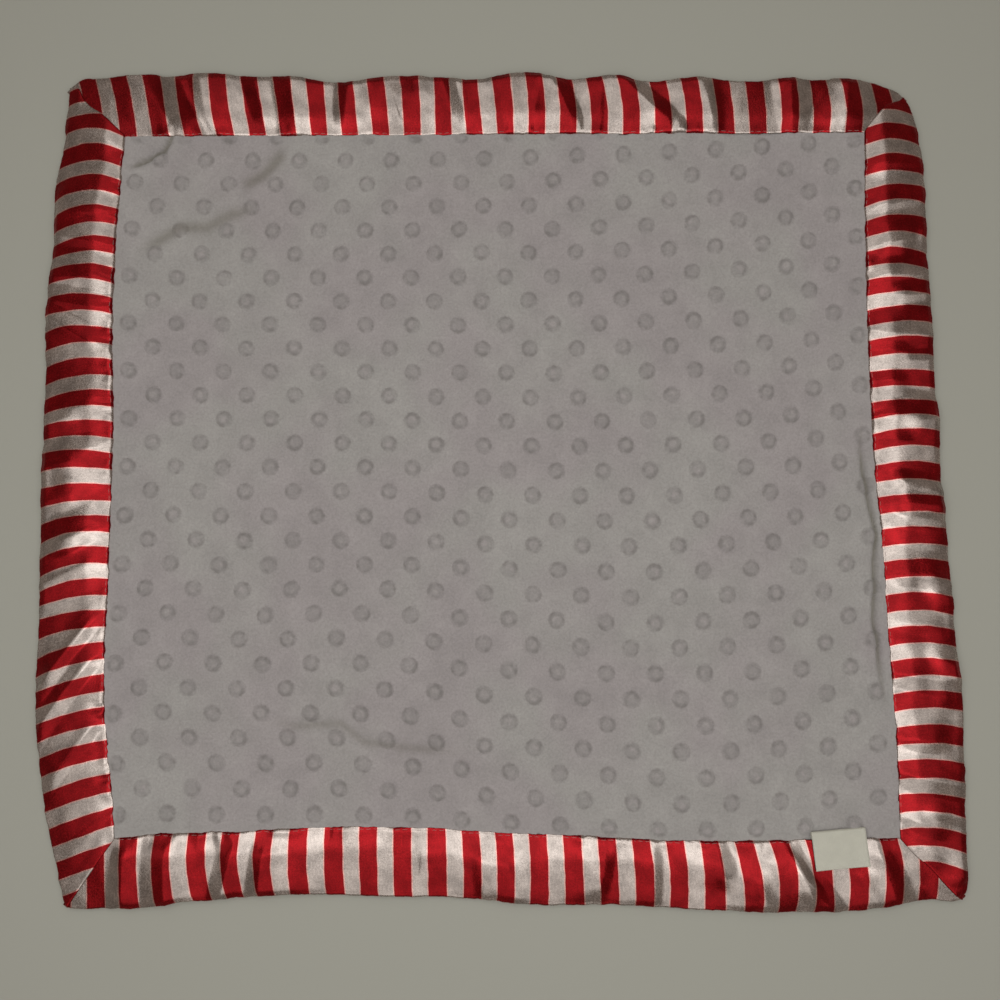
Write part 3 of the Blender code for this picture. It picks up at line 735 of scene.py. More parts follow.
def set_uv(mesh, places):
    """Give each corner the cloth place of its vertex, in metres."""
    layer = mesh.uv_layers.new(name="cloth")
    corners = np.zeros(len(mesh.loops), np.int32)
    mesh.loops.foreach_get("vertex_index", corners)
    layer.data.foreach_set("uv", places[corners].astype(np.float32).ravel())


def set_share(mesh, name, values):
    """Give each vertex a value that a material reads by its name."""
    layer = mesh.attributes.new(name, "FLOAT", "POINT")
    layer.data.foreach_set("value", values.astype(np.float32))


def add_object(mesh, material):
    """An object of a mesh, with the mesh's name."""
    mesh.materials.clear()
    mesh.materials.append(material)
    mesh.shade_smooth()
    item = bpy.data.objects.new(mesh.name, mesh)
    bpy.context.scene.collection.objects.link(item)
    return item


def mesh_of(name, shape):
    """A new mesh of a bmesh, which is freed."""
    mesh = bpy.data.meshes.new(name)
    shape.to_mesh(mesh)
    shape.free()
    return mesh


def add_node(tree, kind, output=None, inputs=None, **settings):
    """Add a shader node and give back one of its outputs, or the node itself where none is named.

    An input is given by its name or number, as a value or as the socket that feeds it.
    """
    node = tree.nodes.new(kind)
    for name, value in settings.items():
        setattr(node, name, value)
    for name, value in (inputs or {}).items():
        if isinstance(value, bpy.types.NodeSocket):
            tree.links.new(value, node.inputs[name])
        else:
            node.inputs[name].default_value = value
    return node if output is None else node.outputs[output]


def new_material(name):
    """A material with an empty node tree."""
    material = bpy.data.materials.new(name)
    material.use_nodes = True
    material.node_tree.nodes.clear()
    return material, material.node_tree


def rgba(color):
    """A colour with the full alpha that a colour socket wants."""
    return (*color, 1.0)


def toned(tree, color, pattern, low, high, dark, light):
    """A colour that is darker where a pattern is low and lighter where it is high."""
    tone = add_node(tree, "ShaderNodeMapRange", "Result",
                    {"Value": pattern, "From Min": low, "From Max": high, "To Min": dark, "To Max": light})
    return add_node(tree, "ShaderNodeMix", MIXED, {FACTOR: 1.0, FIRST: color, SECOND: tone},
                    data_type="RGBA", blend_type="MULTIPLY")


def make_plush(name):
    """Minky plush, a short knitted polyester pile: matt, softly mottled, and pressed darker at its dots, with
    painted shade on the dots' flanks and in the creases and a painted highlight on the dots' crowns.
    """
    panels = bpy.context.scene.lovey_panels
    material, tree = new_material(name)
    place = add_node(tree, "ShaderNodeTexCoord", "Object")
    # Pile tufts of about 0.9 mm, drawn coarser than the real fibres so that they show
    tufts = add_node(tree, "ShaderNodeTexNoise", "Fac",
                     {"Vector": place, "Scale": 1100.0, "Detail": 4.0, "Roughness": 0.65})
    # Patches of about 9 mm where the pile is brushed another way
    patches = add_node(tree, "ShaderNodeTexNoise", "Fac", {"Vector": place, "Scale": 110.0, "Detail": 3.0})
    # Uneven tone over about 50 mm
    tone = add_node(tree, "ShaderNodeTexNoise", "Fac", {"Vector": place, "Scale": 20.0, "Detail": 2.0})
    laid = add_node(tree, "ShaderNodeMapRange", "Result",
                    {"Value": tone, "From Min": 0.42, "From Max": 0.6, "To Max": 0.5})
    # A dot's pile is pressed unevenly, in patches of about 3 mm
    blots = add_node(tree, "ShaderNodeTexNoise", "Fac", {"Vector": place, "Scale": 320.0, "Detail": 2.0})
    relief = add_node(tree, "ShaderNodeAttribute", "Fac", attribute_name="dot")
    pressed = add_node(tree, "ShaderNodeMapRange", "Result",
                       {"Value": blots, "From Min": 0.35, "From Max": 0.65, "To Min": 0.35})
    disc = add_node(tree, "ShaderNodeMath", "Value", {0: relief, 1: pressed}, operation="MULTIPLY")
    # Painted shade on the dot's flank, a darker ring, here more and there less
    flank = add_node(tree, "ShaderNodeMath", "Value", {0: relief, 1: 0.5}, operation="PINGPONG")
    ring_shade_patches = add_node(tree, "ShaderNodeMapRange", "Result",
                       {"Value": blots, "From Min": 0.45, "From Max": 0.65, "To Max": 0.45})
    ring = add_node(tree, "ShaderNodeMapRange", "Result",
                    {"Value": flank, "From Max": 0.5, "To Max": ring_shade_patches})
    # Painted highlight on the dot's crown, lighter in patches
    crown_highlight_patches = add_node(tree, "ShaderNodeMapRange", "Result",
                      {"Value": blots, "From Min": 0.4, "From Max": 0.6, "To Max": 0.6})
    crown = add_node(tree, "ShaderNodeMapRange", "Result",
                     {"Value": relief, "From Min": 0.88, "To Max": crown_highlight_patches})
    # Painted shade in a crease: the pile is darker along it
    painted_crease_shade = add_node(tree, "ShaderNodeAttribute", "Fac", attribute_name="crease")
    color = rgba(panels.pile_color)
    # Over the pile: the laid pile, the dots' own colour, painted shade on their flanks, a painted highlight on
    # their crowns, painted shade in the creases
    for share, tint in ((laid, linear_color(LAID_PILE)), (disc, panels.dot_color),
                        (ring, linear_color(FLANK_PAINTED_SHADE)), (crown, linear_color(CROWN_PAINTED_HIGHLIGHT)),
                        (painted_crease_shade, linear_color(CREASE_PAINTED_SHADE))):
        color = add_node(tree, "ShaderNodeMix", MIXED, {FACTOR: share, FIRST: color, SECOND: rgba(tint)},
                         data_type="RGBA")
    color = toned(tree, color, patches, 0.3, 0.7, 0.93, 1.05)
    color = toned(tree, color, tone, 0.35, 0.65, 0.95, 1.04)
    color = toned(tree, color, tufts, 0.25, 0.75, 0.86, 1.12)
    bump = add_node(tree, "ShaderNodeBump", "Normal", {"Height": tufts, "Strength": 0.6, "Distance": 0.00035})
    shader = add_node(tree, "ShaderNodeBsdfPrincipled", "BSDF",
                      {"Base Color": color, "Roughness": 0.95, "Normal": bump, "Sheen Weight": 0.25,
                       "Sheen Roughness": 0.6, "Specular IOR Level": 0.2})
    add_node(tree, "ShaderNodeOutputMaterial", None, {"Surface": shader})
    return material


def make_satin(name):
    """Woven polyester satin, printed in stripes: long smooth floats that catch the light in streaks."""
    binding = bpy.context.scene.lovey_binding
    material, tree = new_material(name)
    cloth = add_node(tree, "ShaderNodeUVMap", "UV", uv_map="cloth")
    # Threads wander by a third of a millimetre, which leaves the stripes' edges a little uneven
    wander = add_node(tree, "ShaderNodeTexNoise", "Fac", {"Vector": cloth, "Scale": 150.0, "Detail": 1.0})
    shift = add_node(tree, "ShaderNodeMath", "Value", {0: wander, 1: 0.0007}, operation="MULTIPLY")
    lengthwise = add_node(tree, "ShaderNodeSeparateXYZ", "X", {"Vector": cloth})
    along = add_node(tree, "ShaderNodeMath", "Value", {0: lengthwise, 1: shift}, operation="ADD")
    pairs = add_node(tree, "ShaderNodeMath", "Value", {0: along, 1: 1.0 / binding.stripe_pair},
                     operation="MULTIPLY")
    # 0 in the middle of a red stripe and 0.5 in the middle of a white one
    place = add_node(tree, "ShaderNodeMath", "Value", {0: pairs, 1: 0.5}, operation="PINGPONG")
    red = add_node(tree, "ShaderNodeMapRange", "Result",
                   {"Value": place, "From Min": 0.257, "From Max": 0.271, "To Min": 1.0, "To Max": 0.0})
    color = add_node(tree, "ShaderNodeMix", MIXED, {FACTOR: red, FIRST: rgba(binding.white_color),
                                                    SECOND: rgba(binding.red_color)}, data_type="RGBA")
    # The print leaves a thin pink line where red meets white
    edge = add_node(tree, "ShaderNodeMath", "Value", {0: place, 1: 0.276, 2: 0.016}, operation="COMPARE")
    faint = add_node(tree, "ShaderNodeMath", "Value", {0: edge, 1: 0.8}, operation="MULTIPLY")
    color = add_node(tree, "ShaderNodeMix", MIXED, {FACTOR: faint, FIRST: color,
                                                    SECOND: rgba(linear_color(PRINT_EDGE))}, data_type="RGBA")
    # Streaks across the strip, drawn 0.5 mm wide and 4 mm long, coarser than the threads so that they show
    stretch = add_node(tree, "ShaderNodeMapping", "Vector", {"Vector": cloth, "Scale": (2000.0, 250.0, 1.0)})
    streaks = add_node(tree, "ShaderNodeTexNoise", "Fac", {"Vector": stretch, "Scale": 1.0, "Detail": 2.0})
    # Threads of about 0.8 mm, drawn coarser than the real ones, that glint one by one
    grain = add_node(tree, "ShaderNodeTexNoise", "Fac",
                     {"Vector": cloth, "Scale": 1300.0, "Detail": 3.0, "Roughness": 0.7})
    # Patches of about 7 mm where the floats are rubbed and shine less
    patches = add_node(tree, "ShaderNodeTexNoise", "Fac", {"Vector": cloth, "Scale": 140.0, "Detail": 2.0})
    color = toned(tree, color, streaks, 0.3, 0.7, 0.9, 1.08)
    color = toned(tree, color, grain, 0.3, 0.7, 0.79, 1.27)
    color = toned(tree, color, patches, 0.35, 0.65, 0.76, 1.1)
    rough = add_node(tree, "ShaderNodeMapRange", "Result",
                     {"Value": grain, "From Min": 0.3, "From Max": 0.7, "To Min": 0.18, "To Max": 0.3})
    weave = add_node(tree, "ShaderNodeBump", "Normal",
                     {"Height": streaks, "Strength": 0.35, "Distance": 0.00003})
    sparkle = add_node(tree, "ShaderNodeBump", "Normal",
                       {"Height": grain, "Strength": 1.0, "Distance": 0.00003, "Normal": weave})
    # A highlight spreads across the strip
    tangent = add_node(tree, "ShaderNodeTangent", "Tangent", direction_type="UV_MAP", uv_map="cloth")
    shader = add_node(tree, "ShaderNodeBsdfPrincipled", "BSDF",
                      {"Base Color": color, "Roughness": rough, "Metallic": 0.92, "Anisotropic": 0.6,
                       "Anisotropic Rotation": 0.25, "Tangent": tangent, "Normal": sparkle,
                       "Specular IOR Level": 0.5})
    add_node(tree, "ShaderNodeOutputMaterial", None, {"Surface": shader})
    return material


def make_tape(name):
    """Woven polyester label tape: a tight plain weave with a low sheen."""
    material, tree = new_material(name)
    cloth = add_node(tree, "ShaderNodeUVMap", "UV", uv_map="cloth")
    # Warp and weft of about 0.45 mm, drawn coarser than the real ones so that they show
    warp, weft = (add_node(tree, "ShaderNodeTexWave", "Fac",
                           {"Vector": cloth, "Scale": 350.0, "Distortion": 0.6}, bands_direction=way)
                  for way in ("X", "Y"))
    weave = add_node(tree, "ShaderNodeMath", "Value", {0: warp, 1: weft}, operation="MULTIPLY")
    tone = add_node(tree, "ShaderNodeTexNoise", "Fac", {"Vector": cloth, "Scale": 180.0, "Detail": 3.0})
    color = toned(tree, rgba(bpy.context.scene.lovey_label.color), tone, 0.3, 0.7, 0.94, 1.04)
    bump = add_node(tree, "ShaderNodeBump", "Normal", {"Height": weave, "Strength": 0.3, "Distance": 0.0001})
    shader = add_node(tree, "ShaderNodeBsdfPrincipled", "BSDF",
                      {"Base Color": color, "Roughness": 0.6, "Normal": bump, "Sheen Weight": 0.1})
    add_node(tree, "ShaderNodeOutputMaterial", None, {"Surface": shader})
    return material


def make_thread(name):
    """Spun polyester sewing thread: two twisted strands with a dull sheen."""
    material, tree = new_material(name)
    place = add_node(tree, "ShaderNodeTexCoord", "Object")
    # Twist of about 0.6 mm
    twist = add_node(tree, "ShaderNodeTexWave", "Fac", {"Vector": place, "Scale": 260.0, "Distortion": 1.0},
                     bands_direction="DIAGONAL")
    color = toned(tree, rgba(bpy.context.scene.lovey_thread.color), twist, 0.0, 1.0, 0.8, 1.05)
    bump = add_node(tree, "ShaderNodeBump", "Normal", {"Height": twist, "Strength": 0.5, "Distance": 0.00005})
    shader = add_node(tree, "ShaderNodeBsdfPrincipled", "BSDF",
                      {"Base Color": color, "Roughness": 0.55, "Normal": bump})
    add_node(tree, "ShaderNodeOutputMaterial", None, {"Surface": shader})
    return material


def make_floor(name):
    """Matt painted board: even, with the faintest unevenness."""
    material, tree = new_material(name)
    place = add_node(tree, "ShaderNodeTexCoord", "Object")
    tone = add_node(tree, "ShaderNodeTexNoise", "Fac", {"Vector": place, "Scale": 2.0, "Detail": 2.0})
    color = toned(tree, rgba(bpy.context.scene.lovey_stage.floor_color), tone, 0.0, 1.0, 0.97, 1.03)
    shader = add_node(tree, "ShaderNodeBsdfPrincipled", "BSDF", {"Base Color": color, "Roughness": 0.8})
    add_node(tree, "ShaderNodeOutputMaterial", None, {"Surface": shader})
    return material


def material_once(name, make):
    """The named material, made by its function the first time."""
    return bpy.data.materials.get(name) or make(name)


def extrude_rim(shape, edges):
    """Extrude a rim of edges, and give back its new vertices and the new rim."""
    made = bmesh.ops.extrude_edge_only(shape, edges=edges)["geom"]
    verts = [item for item in made if isinstance(item, BMVert)]
    return verts, [item for item in made if isinstance(item, BMEdge) and item.is_boundary]


def copy_by(shape, source, way):
    """Add a copy of some vertices, edges and faces, moved by a way."""
    copy = bmesh.ops.duplicate(shape, geom=source)["geom"]
    bmesh.ops.translate(shape, verts=[item for item in copy if isinstance(item, BMVert)], vec=way)


def dot_cell():
    """One four-cornered cell of the dotted plush, ring by ring from the dot's crown to the cell's edge."""
    panels = bpy.context.scene.lovey_panels
    cell = bmesh.new()
    bmesh.ops.create_circle(cell, cap_ends=True, cap_tris=True, segments=DOT_SEGMENTS,
                            radius=panels.dot_diameter / 2.0 * DOT_PROFILE[0][0])
    edges = [edge for edge in cell.edges if edge.is_boundary]
    bmesh.ops.translate(cell, verts=cell.verts, vec=(0.0, 0.0, panels.dot_height * DOT_PROFILE[0][1]))
    for (inner, _), (outer, up) in zip(DOT_PROFILE, DOT_PROFILE[1:]):
        verts, edges = extrude_rim(cell, edges)
        bmesh.ops.scale(cell, vec=(outer / inner, outer / inner, 1.0), verts=verts)
        for vert in verts:
            vert.co.z = panels.dot_height * up
    corners = [Vector((panels.dot_pitch / 2.0, 0.0, 0.0)), Vector((0.0, panels.dot_row_pitch, 0.0))]
    corners += [-corners[0], -corners[1], corners[0]]
    quarter_steps = DOT_SEGMENTS // 4
    for vert in extrude_rim(cell, edges)[0]:
        turn = math.atan2(vert.co.y, vert.co.x) % math.tau
        quarter, part = divmod(round(turn / math.tau * DOT_SEGMENTS) % DOT_SEGMENTS, quarter_steps)
        vert.co = corners[quarter].lerp(corners[quarter + 1], part / quarter_steps)
    return cell


def repeat(shape, places):
    """Move what a bmesh holds to the first of some places and copies of it to the others."""
    source = shape.verts[:] + shape.edges[:] + shape.faces[:]
    for place in places[1:]:
        copy_by(shape, source, place)
    bmesh.ops.translate(shape, verts=[item for item in source if isinstance(item, BMVert)], vec=places[0])


def pull_pile(shape):
    """Shift the dots to where they lie on the laid-out cloth."""
    panels = bpy.context.scene.lovey_panels
    for vert in shape.verts:
        right, away = 2.0 * vert.co.x / panels.width, 2.0 * vert.co.y / panels.height
        terms = (1.0, right, away, right * right, right * away, away * away)
        for axis, pulls in enumerate(PILE_PULL):
            vert.co[axis] += sum(pull * term for pull, term in zip(pulls, terms))


def refine(shape):
    """Cut the faces finer where the pile meets the binding and round the creases."""
    for longest in FINE_EDGES:
        middles = np.array([(edge.verts[0].co + edge.verts[1].co)[:2] for edge in shape.edges]) / 2.0
        lengths = np.array([edge.calc_length() for edge in shape.edges])
        near = np.abs(from_seam(middles) - FINE_BAND[0]) < FINE_BAND[1]
        near |= np.abs(crease_depth(middles)) > FINE_CREASE
        chosen = [edge for edge, cut in zip(shape.edges, near & (lengths > longest)) if cut]
        bmesh.ops.subdivide_edges(shape, edges=chosen, cuts=1, use_grid_fill=True)


def tile_cells(cell):
    """Repeat the cell in offset rows over the panel and trim the sheet a little past the seams."""
    panels = bpy.context.scene.lovey_panels
    reach = Vector((panels.width / 2.0 + TRIM_MARGIN, panels.height / 2.0 + TRIM_MARGIN))
    rows = math.ceil(reach.y / panels.dot_row_pitch) + 3
    columns = math.ceil(reach.x / panels.dot_pitch) + 2
    repeat(cell, [(panels.dot_pitch * column, 0.0, 0.0) for column in range(-columns, columns + 1)])
    repeat(cell, [(panels.dot_first_x + panels.dot_pitch * (row % 2) / 2.0,
                   panels.dot_first_y + panels.dot_row_pitch * row, 0.0) for row in range(-rows, rows)])
    bmesh.ops.remove_doubles(cell, verts=cell.verts, dist=WELD_DISTANCE)
    slant = Matrix.Identity(4)
    slant[0][1] = panels.dot_slant
    bmesh.ops.transform(cell, matrix=slant, verts=cell.verts)
    pull_pile(cell)
    for square in ((1.0, 0.0), (-1.0, 0.0), (0.0, 1.0), (0.0, -1.0)):
        plane = Vector((*square, 0.0))
        bmesh.ops.bisect_plane(cell, geom=cell.verts[:] + cell.edges[:] + cell.faces[:], dist=1e-7,
                               plane_co=plane * (reach.x if square[0] else reach.y), plane_no=plane,
                               clear_outer=True)


def finish_panel(mesh, rim_level, middle_level, material):
    """Run a panel's sheet into the binding, then down and back under to close it, and lay it out."""
    panels = bpy.context.scene.lovey_panels
    half = Vector((panels.width / 2.0, panels.height / 2.0))
    shape = bmesh.new()
    shape.from_mesh(mesh)
    edges = [edge for edge in shape.edges if edge.is_boundary]
    for reach, level in ((panels.tuck, None), (panels.tuck, rim_level), (-panels.ramp, middle_level)):
        verts, edges = extrude_rim(shape, edges)
        widest = Vector((max(abs(vert.co.x) for vert in verts), max(abs(vert.co.y) for vert in verts)))
        for vert in verts:
            vert.co.x *= (half.x + reach) / widest.x
            vert.co.y *= (half.y + reach) / widest.y
            if level is not None:
                vert.co.z = level
    bmesh.ops.contextual_create(shape, geom=edges)
    bmesh.ops.recalc_face_normals(shape, faces=shape.faces)
    shape.to_mesh(mesh)
    shape.free()
    points = get_points(mesh)
    points[:, :2] = lay(points[:, :2])
    set_points(mesh, points)
    return add_object(mesh, material)


def build_front_panel(material):
    """Dotted plush, from one cell repeated over the panel."""
    panels = bpy.context.scene.lovey_panels
    cell = dot_cell()
    tile_cells(cell)
    refine(cell)
    mesh = mesh_of("plush_front", cell)
    points = get_points(mesh)
    flat = points[:, :2]
    inside = from_seam(flat)
    shown = smooth_step(*DOT_START, inside)
    set_share(mesh, "dot", np.clip(points[:, 2] / panels.dot_height * shown, 0.0, 1.0))
    # Painted shade in the creases, darker where they press deeper
    painted_crease_shade = np.clip(crease_depth(flat) / CREASE_SHADE_DEPTH, 0.0, 1.0) ** 1.5
    set_share(mesh, "crease", CREASE_SHADE * painted_crease_shade)
    share, length = DOT_UNEVENNESS
    points[:, 2] = panel_top(flat) + points[:, 2] * (1.0 + share * waves(flat, length, 5.3)) * shown
    distance, length = DOT_DRIFT
    drift = distance * np.stack([waves(flat, length, seed) for seed in (1.5, 2.5)], 1)
    points[:, :2] = flat + drift * smooth_step(*DRIFT_START, inside)[:, None]
    set_points(mesh, points)
    rim_level = panels.back_thickness + panels.back_rise + RIM_GAP
    return finish_panel(mesh, rim_level, panels.front_low - MIDDLE_DROP, material)


def build_back_panel(material):
    """Plain plush, from a grid of squares."""
    panels = bpy.context.scene.lovey_panels
    shape = bmesh.new()
    bmesh.ops.create_grid(shape, x_segments=BACK_GRID[0], y_segments=BACK_GRID[1], size=0.5)
    size = (panels.width + 2.0 * TRIM_MARGIN, panels.height + 2.0 * TRIM_MARGIN, 1.0)
    bmesh.ops.scale(shape, verts=shape.verts, vec=size)
    mesh = mesh_of("plush_back", shape)
    points = get_points(mesh)
    flat = points[:, :2]
    height, length, seed = BACK_WAVE
    roll = height * (1.0 + waves(flat, length, seed))
    points[:, 2] = panel_rise(flat) + smooth_step(*BACK_ROLL_START, from_seam(flat)) * roll
    set_points(mesh, points)
    for name in ("dot", "crease"):
        set_share(mesh, name, np.zeros(len(points)))
    return finish_panel(mesh, panels.back_thickness + panels.back_rise, panels.back_thickness, material)


def label_line():
    """Middle of the label's fold, the way that the fold runs and the way that the free end points."""
    label = bpy.context.scene.lovey_label
    line = np.array((math.cos(label.turn), math.sin(label.turn)))
    free_way = np.array((line[1], -line[0]))
    middle = seam_point("bottom", label.place_share) - label.stand * free_way - outline_centre()
    return middle, line, free_way


def label_cover(plan):
    """1 where the label lies on the binding or in its seam, falling to 0 round it."""
    label = bpy.context.scene.lovey_label
    middle, line, free_way = label_line()
    off = plan - middle
    beside = np.abs(off @ line) - label.width / 2.0
    beyond = off @ free_way - label.length
    return smooth_step(LABEL_PRESS, 0.0, beside) * smooth_step(LABEL_PRESS, 0.0, beyond)


def mitre_nearness(side, plan):
    """1 at a side's mitres, falling to 0 away from them."""
    centre = outline_centre()
    nearest = np.full(plan.shape[:-1], np.inf)
    for name in SIDE_ENDS[side]:
        run = outer_corner(name) - seam_corner(name)
        run /= np.linalg.norm(run)
        off = plan - (seam_corner(name) - centre)
        nearest = np.minimum(nearest, np.abs(off[..., 0] * run[1] - off[..., 1] * run[0]))
    return smooth_step(*MITRE_REACH, nearest)


class Run:
    """One side's binding: where its sections start, which way they run, and how high its satin lies."""

    def __init__(self, side, along):
        self.side = side
        self.seed = SIDE_SEEDS[side]
        self.along = np.clip(along, 0.0, 1.0)
        self.seam = seam_point(side, self.along) - outline_centre()
        fold = fold_point(side, self.along) - outline_centre()
        self.length = np.linalg.norm(fold - self.seam, axis=-1)
        self.run = (fold - self.seam) / self.length[..., None]
        start, end = (seam_corner(name) for name in SIDE_ENDS[side])
        self.start = start - outline_centre()
        self.chord_run, self.chord_out = chord(start, end)
        self.side_length = np.linalg.norm(end - start)
        place = self.along * self.side_length
        scallop = sum(height * noise_field(place / length, 0.5, self.seed) for height, length in SCALLOPS)
        self.inner = smooth_step(0.0, END_SHARE, self.along) * smooth_step(0.0, END_SHARE, 1.0 - self.along)
        self.seam = self.seam + self.chord_out * (scallop * self.inner)[..., None]

    def plan(self, width):
        """Places on the floor at a width along each section."""
        straight = self.seam + self.run * np.asarray(width)[..., None]
        return straight + self.chord_run * self.past_mitre(width)[..., None]

    def past_mitre(self, width):
        """How far the ends of an upper run reach past their straight mitres, along the side."""
        out = np.clip(np.asarray(width) / self.length, 0.0, 1.0)
        if self.side not in UPPER_SIDES:
            return 0.0 * out
        reach = bpy.context.scene.lovey_binding.width
        first, last = SIDE_ENDS[self.side]
        near_first = np.exp(-self.along * self.side_length / MITRE_FADE)
        near_last = np.exp(-(1.0 - self.along) * self.side_length / MITRE_FADE)
        return reach * (read_shares(MITRE_SHARES[last], out) * near_last
                        - read_shares(MITRE_SHARES[first], out) * near_first)

    def place_along(self, width):
        """Distance along the side of points at a width along their section."""
        return (self.plan(width) - self.start) @ self.chord_run

    def folds(self, width):
        """Folds across the binding: a slow rise away from the side's middle, then a steep, even flank."""
        binding = bpy.context.scene.lovey_binding
        across = np.asarray(width) / self.length
        before, within = FOLD_FADE
        height = 0.0 * across
        for at_edge, at_seam, half_width, steepness, start, end in FOLDS[self.side]:
            outward = 1.0 if at_edge + at_seam > 1.0 else -1.0
            off = outward * (self.along - at_seam - (at_edge - at_seam) * across) * self.side_length
            half = half_width * self.side_length
            rising = np.exp(np.minimum(off + half, 0.0) / binding.fold_rise)
            falling = np.clip((half - off) / (2.0 * half), 0.0, 1.0)
            drop = min(binding.fold_limit, 2.0 * half * binding.fold_steepness) * steepness
            shown = (smooth_step(start - before, start + within, across)
                     * smooth_step(end + before, end - within, across))
            height = height + drop * rising * falling * shown
        return height

    def satin_noise(self, along, across, wave, number):
        """Noise of the satin with waves of a length along the side and one across it."""
        return noise_field(along / wave[0], across / wave[1], self.seed + number)

    def wrinkles(self, width):
        """The folds, small wrinkles on a slant, and puckers at the seam."""
        binding = bpy.context.scene.lovey_binding
        place = self.place_along(width)
        wander = WANDER * self.satin_noise(place, width, WANDER_WAVE, 0.0)
        slanted = place - WRINKLE_LEANS[self.side] * width + wander
        small = ridges(self.satin_noise(slanted, width, WRINKLE_WAVE, 2.0))
        pucker = ridges(self.satin_noise(place + PUCKER_WANDER * wander, width, PUCKER_WAVE, 3.0))
        pucker = pucker * smooth_step(*PUCKER_FADE, self.satin_noise(place, 0.5, (PUCKER_GROUP, 1.0), 4.0))
        grown = FOLD_AT_SEAM + (1.0 - FOLD_AT_SEAM) * smooth_step(0.0, GROWN_WIDTH, width)
        height = (self.folds(width) + binding.wrinkle_height * small) * grown
        fade = np.exp(-(width / PUCKER_REACH) ** 2) * smooth_step(0.0, PUCKER_START, width) * self.inner
        height += binding.pucker_height * pucker * fade
        return height * (1.0 - LABEL_CALM * label_cover(self.plan(width)))

    def ripple(self):
        """How far the folded edge stands off the floor, section by section."""
        binding = bpy.context.scene.lovey_binding
        return binding.ripple_height * np.maximum(read_shares(EDGE_SHARES[self.side], self.along, 2), 0.0)

    def lift(self, width):
        """Extra height of both legs where the mitre or the label lies under the satin."""
        plan = self.plan(width)
        over = (MITRE_LIFT if self.side in UPPER_SIDES else 0.0) * mitre_nearness(self.side, plan)
        return over + (LABEL_LIFT * label_cover(plan) if self.side == "bottom" else 0.0)

    def groove(self, width, depth):
        """How far the topstitching pulls a layer in."""
        return depth * np.exp(-((width - bpy.context.scene.lovey_thread.inset) / GROOVE_WIDTH) ** 2)

    def front(self, width):
        """Height of the middle of the front layer."""
        binding = bpy.context.scene.lovey_binding
        width = np.asarray(width) + 0.0 * self.length
        puffed = PUFF_WIDTH[1]
        past = np.clip((width - puffed) / (self.length - puffed), 0.0, 1.0)
        high = binding.fold_height + self.ripple() - binding.satin_thickness / 2.0
        puff = binding.puff_level - binding.front_level
        level = binding.front_level + puff * smooth_step(*PUFF_WIDTH, width)
        level = level + (high - level) * past ** FALL_POWER
        edge = 1.0 - EDGE_CALM * smooth_step(EDGE_CALM_START, 1.0, width / self.length)
        return level + self.wrinkles(width) * edge + self.lift(width) - self.groove(width, FRONT_GROOVE)

    def back(self, width):
        """Height of the middle of the back layer."""
        binding = bpy.context.scene.lovey_binding
        width = np.asarray(width) + 0.0 * self.length
        rest = binding.satin_thickness / 2.0
        pressed = 0.0 if self.side in UPPER_SIDES else MITRE_LIFT
        under = pressed * mitre_nearness(self.side, self.plan(width))
        soft = BACK_WRINKLE * (1.0 + self.satin_noise(self.place_along(width), width, BACK_WRINKLE_WAVE, 5.0))
        soft *= smooth_step(*BACK_WRINKLE_START, width)
        rippled = self.ripple() * smooth_step(BACK_RIPPLE_START, 1.0, width / self.length)
        return rest + under + self.groove(width, BACK_GROOVE) + soft + rippled

    def cloth_place(self, width):
        """Distance along the cut strip: stripes that lie aslant on the blanket are straight in it."""
        first, pitch = STRIPE_STARTS[self.side]
        place = self.place_along(width)
        share = np.clip(place / self.side_length, 0.0, 1.0)
        out = width / LEAN_WIDTH
        drift = read_shares(STRIPE_DRIFT_SHARES[self.side], share)
        lean = read_shares(STRIPE_LEAN_SHARES[self.side], share, 1) * out
        bow = read_shares(STRIPE_LEAN_SHARES[self.side], share, 2) * 4.0 * out * (1.0 - out)
        pairs = (place - first) / pitch - drift - lean - bow
        last, widening = LAST_STRIPES[self.side]
        widened = widening * np.maximum(pairs - last, 0.0)
        return (pairs - widened) * bpy.context.scene.lovey_binding.stripe_pair


def section_columns(run):
    """The folded strip, column by column across: width and height arrays, hem to front to back to hem."""
    binding = bpy.context.scene.lovey_binding
    ones = np.ones_like(run.length)
    hem_round = (binding.front_level - binding.hem_level) / 2.0
    hem_reach = binding.hem_width - hem_round
    face_reach = run.length - FOLD_ROUND - hem_round
    columns = []
    for share in np.linspace(1.0, 0.0, HEM_STEPS, endpoint=False):
        width = (hem_round + share * hem_reach) * ones
        columns.append((width, binding.hem_level + run.lift(width)))
    middle = binding.hem_level + hem_round + run.lift(0.0 * ones)
    for turn in np.linspace(0.0, math.pi, ROUND_STEPS + 1)[:-1]:
        columns.append((hem_round * (1.0 - math.sin(turn)) * ones, middle - hem_round * math.cos(turn)))
    for share in np.linspace(0.0, 1.0, FRONT_STEPS + 1):
        width = hem_round + share * face_reach
        columns.append((width, run.front(width)))
    high, low = columns[-1][1], run.back(run.length - FOLD_ROUND)
    for turn in np.linspace(0.0, math.pi, NOSE_STEPS + 1)[1:-1]:
        columns.append((run.length - FOLD_ROUND * (1.0 - math.sin(turn)),
                        (high + low) / 2.0 + (high - low) / 2.0 * math.cos(turn)))
    for share in np.linspace(1.0, 0.0, BACK_STEPS + 1):
        width = hem_round + share * face_reach
        columns.append((width, run.back(width)))
    base = run.back(hem_round * ones)
    for turn in np.linspace(0.0, math.pi, ROUND_STEPS + 1)[1:]:
        columns.append((hem_round * (1.0 - math.sin(turn)) * ones,
                        base + 0.5 * hem_round * (1.0 - math.cos(turn))))
    for share in np.linspace(0.0, 1.0, HEM_STEPS + 1)[1:]:
        columns.append(((hem_round + share * hem_reach) * ones, base + hem_round))
    return columns


def add_wall(item, name, thickness):
    """Give a sheet its thickness, half to each side."""
    wall = item.modifiers.new(name, "SOLIDIFY")
    wall.thickness = thickness
    wall.offset = 0.0


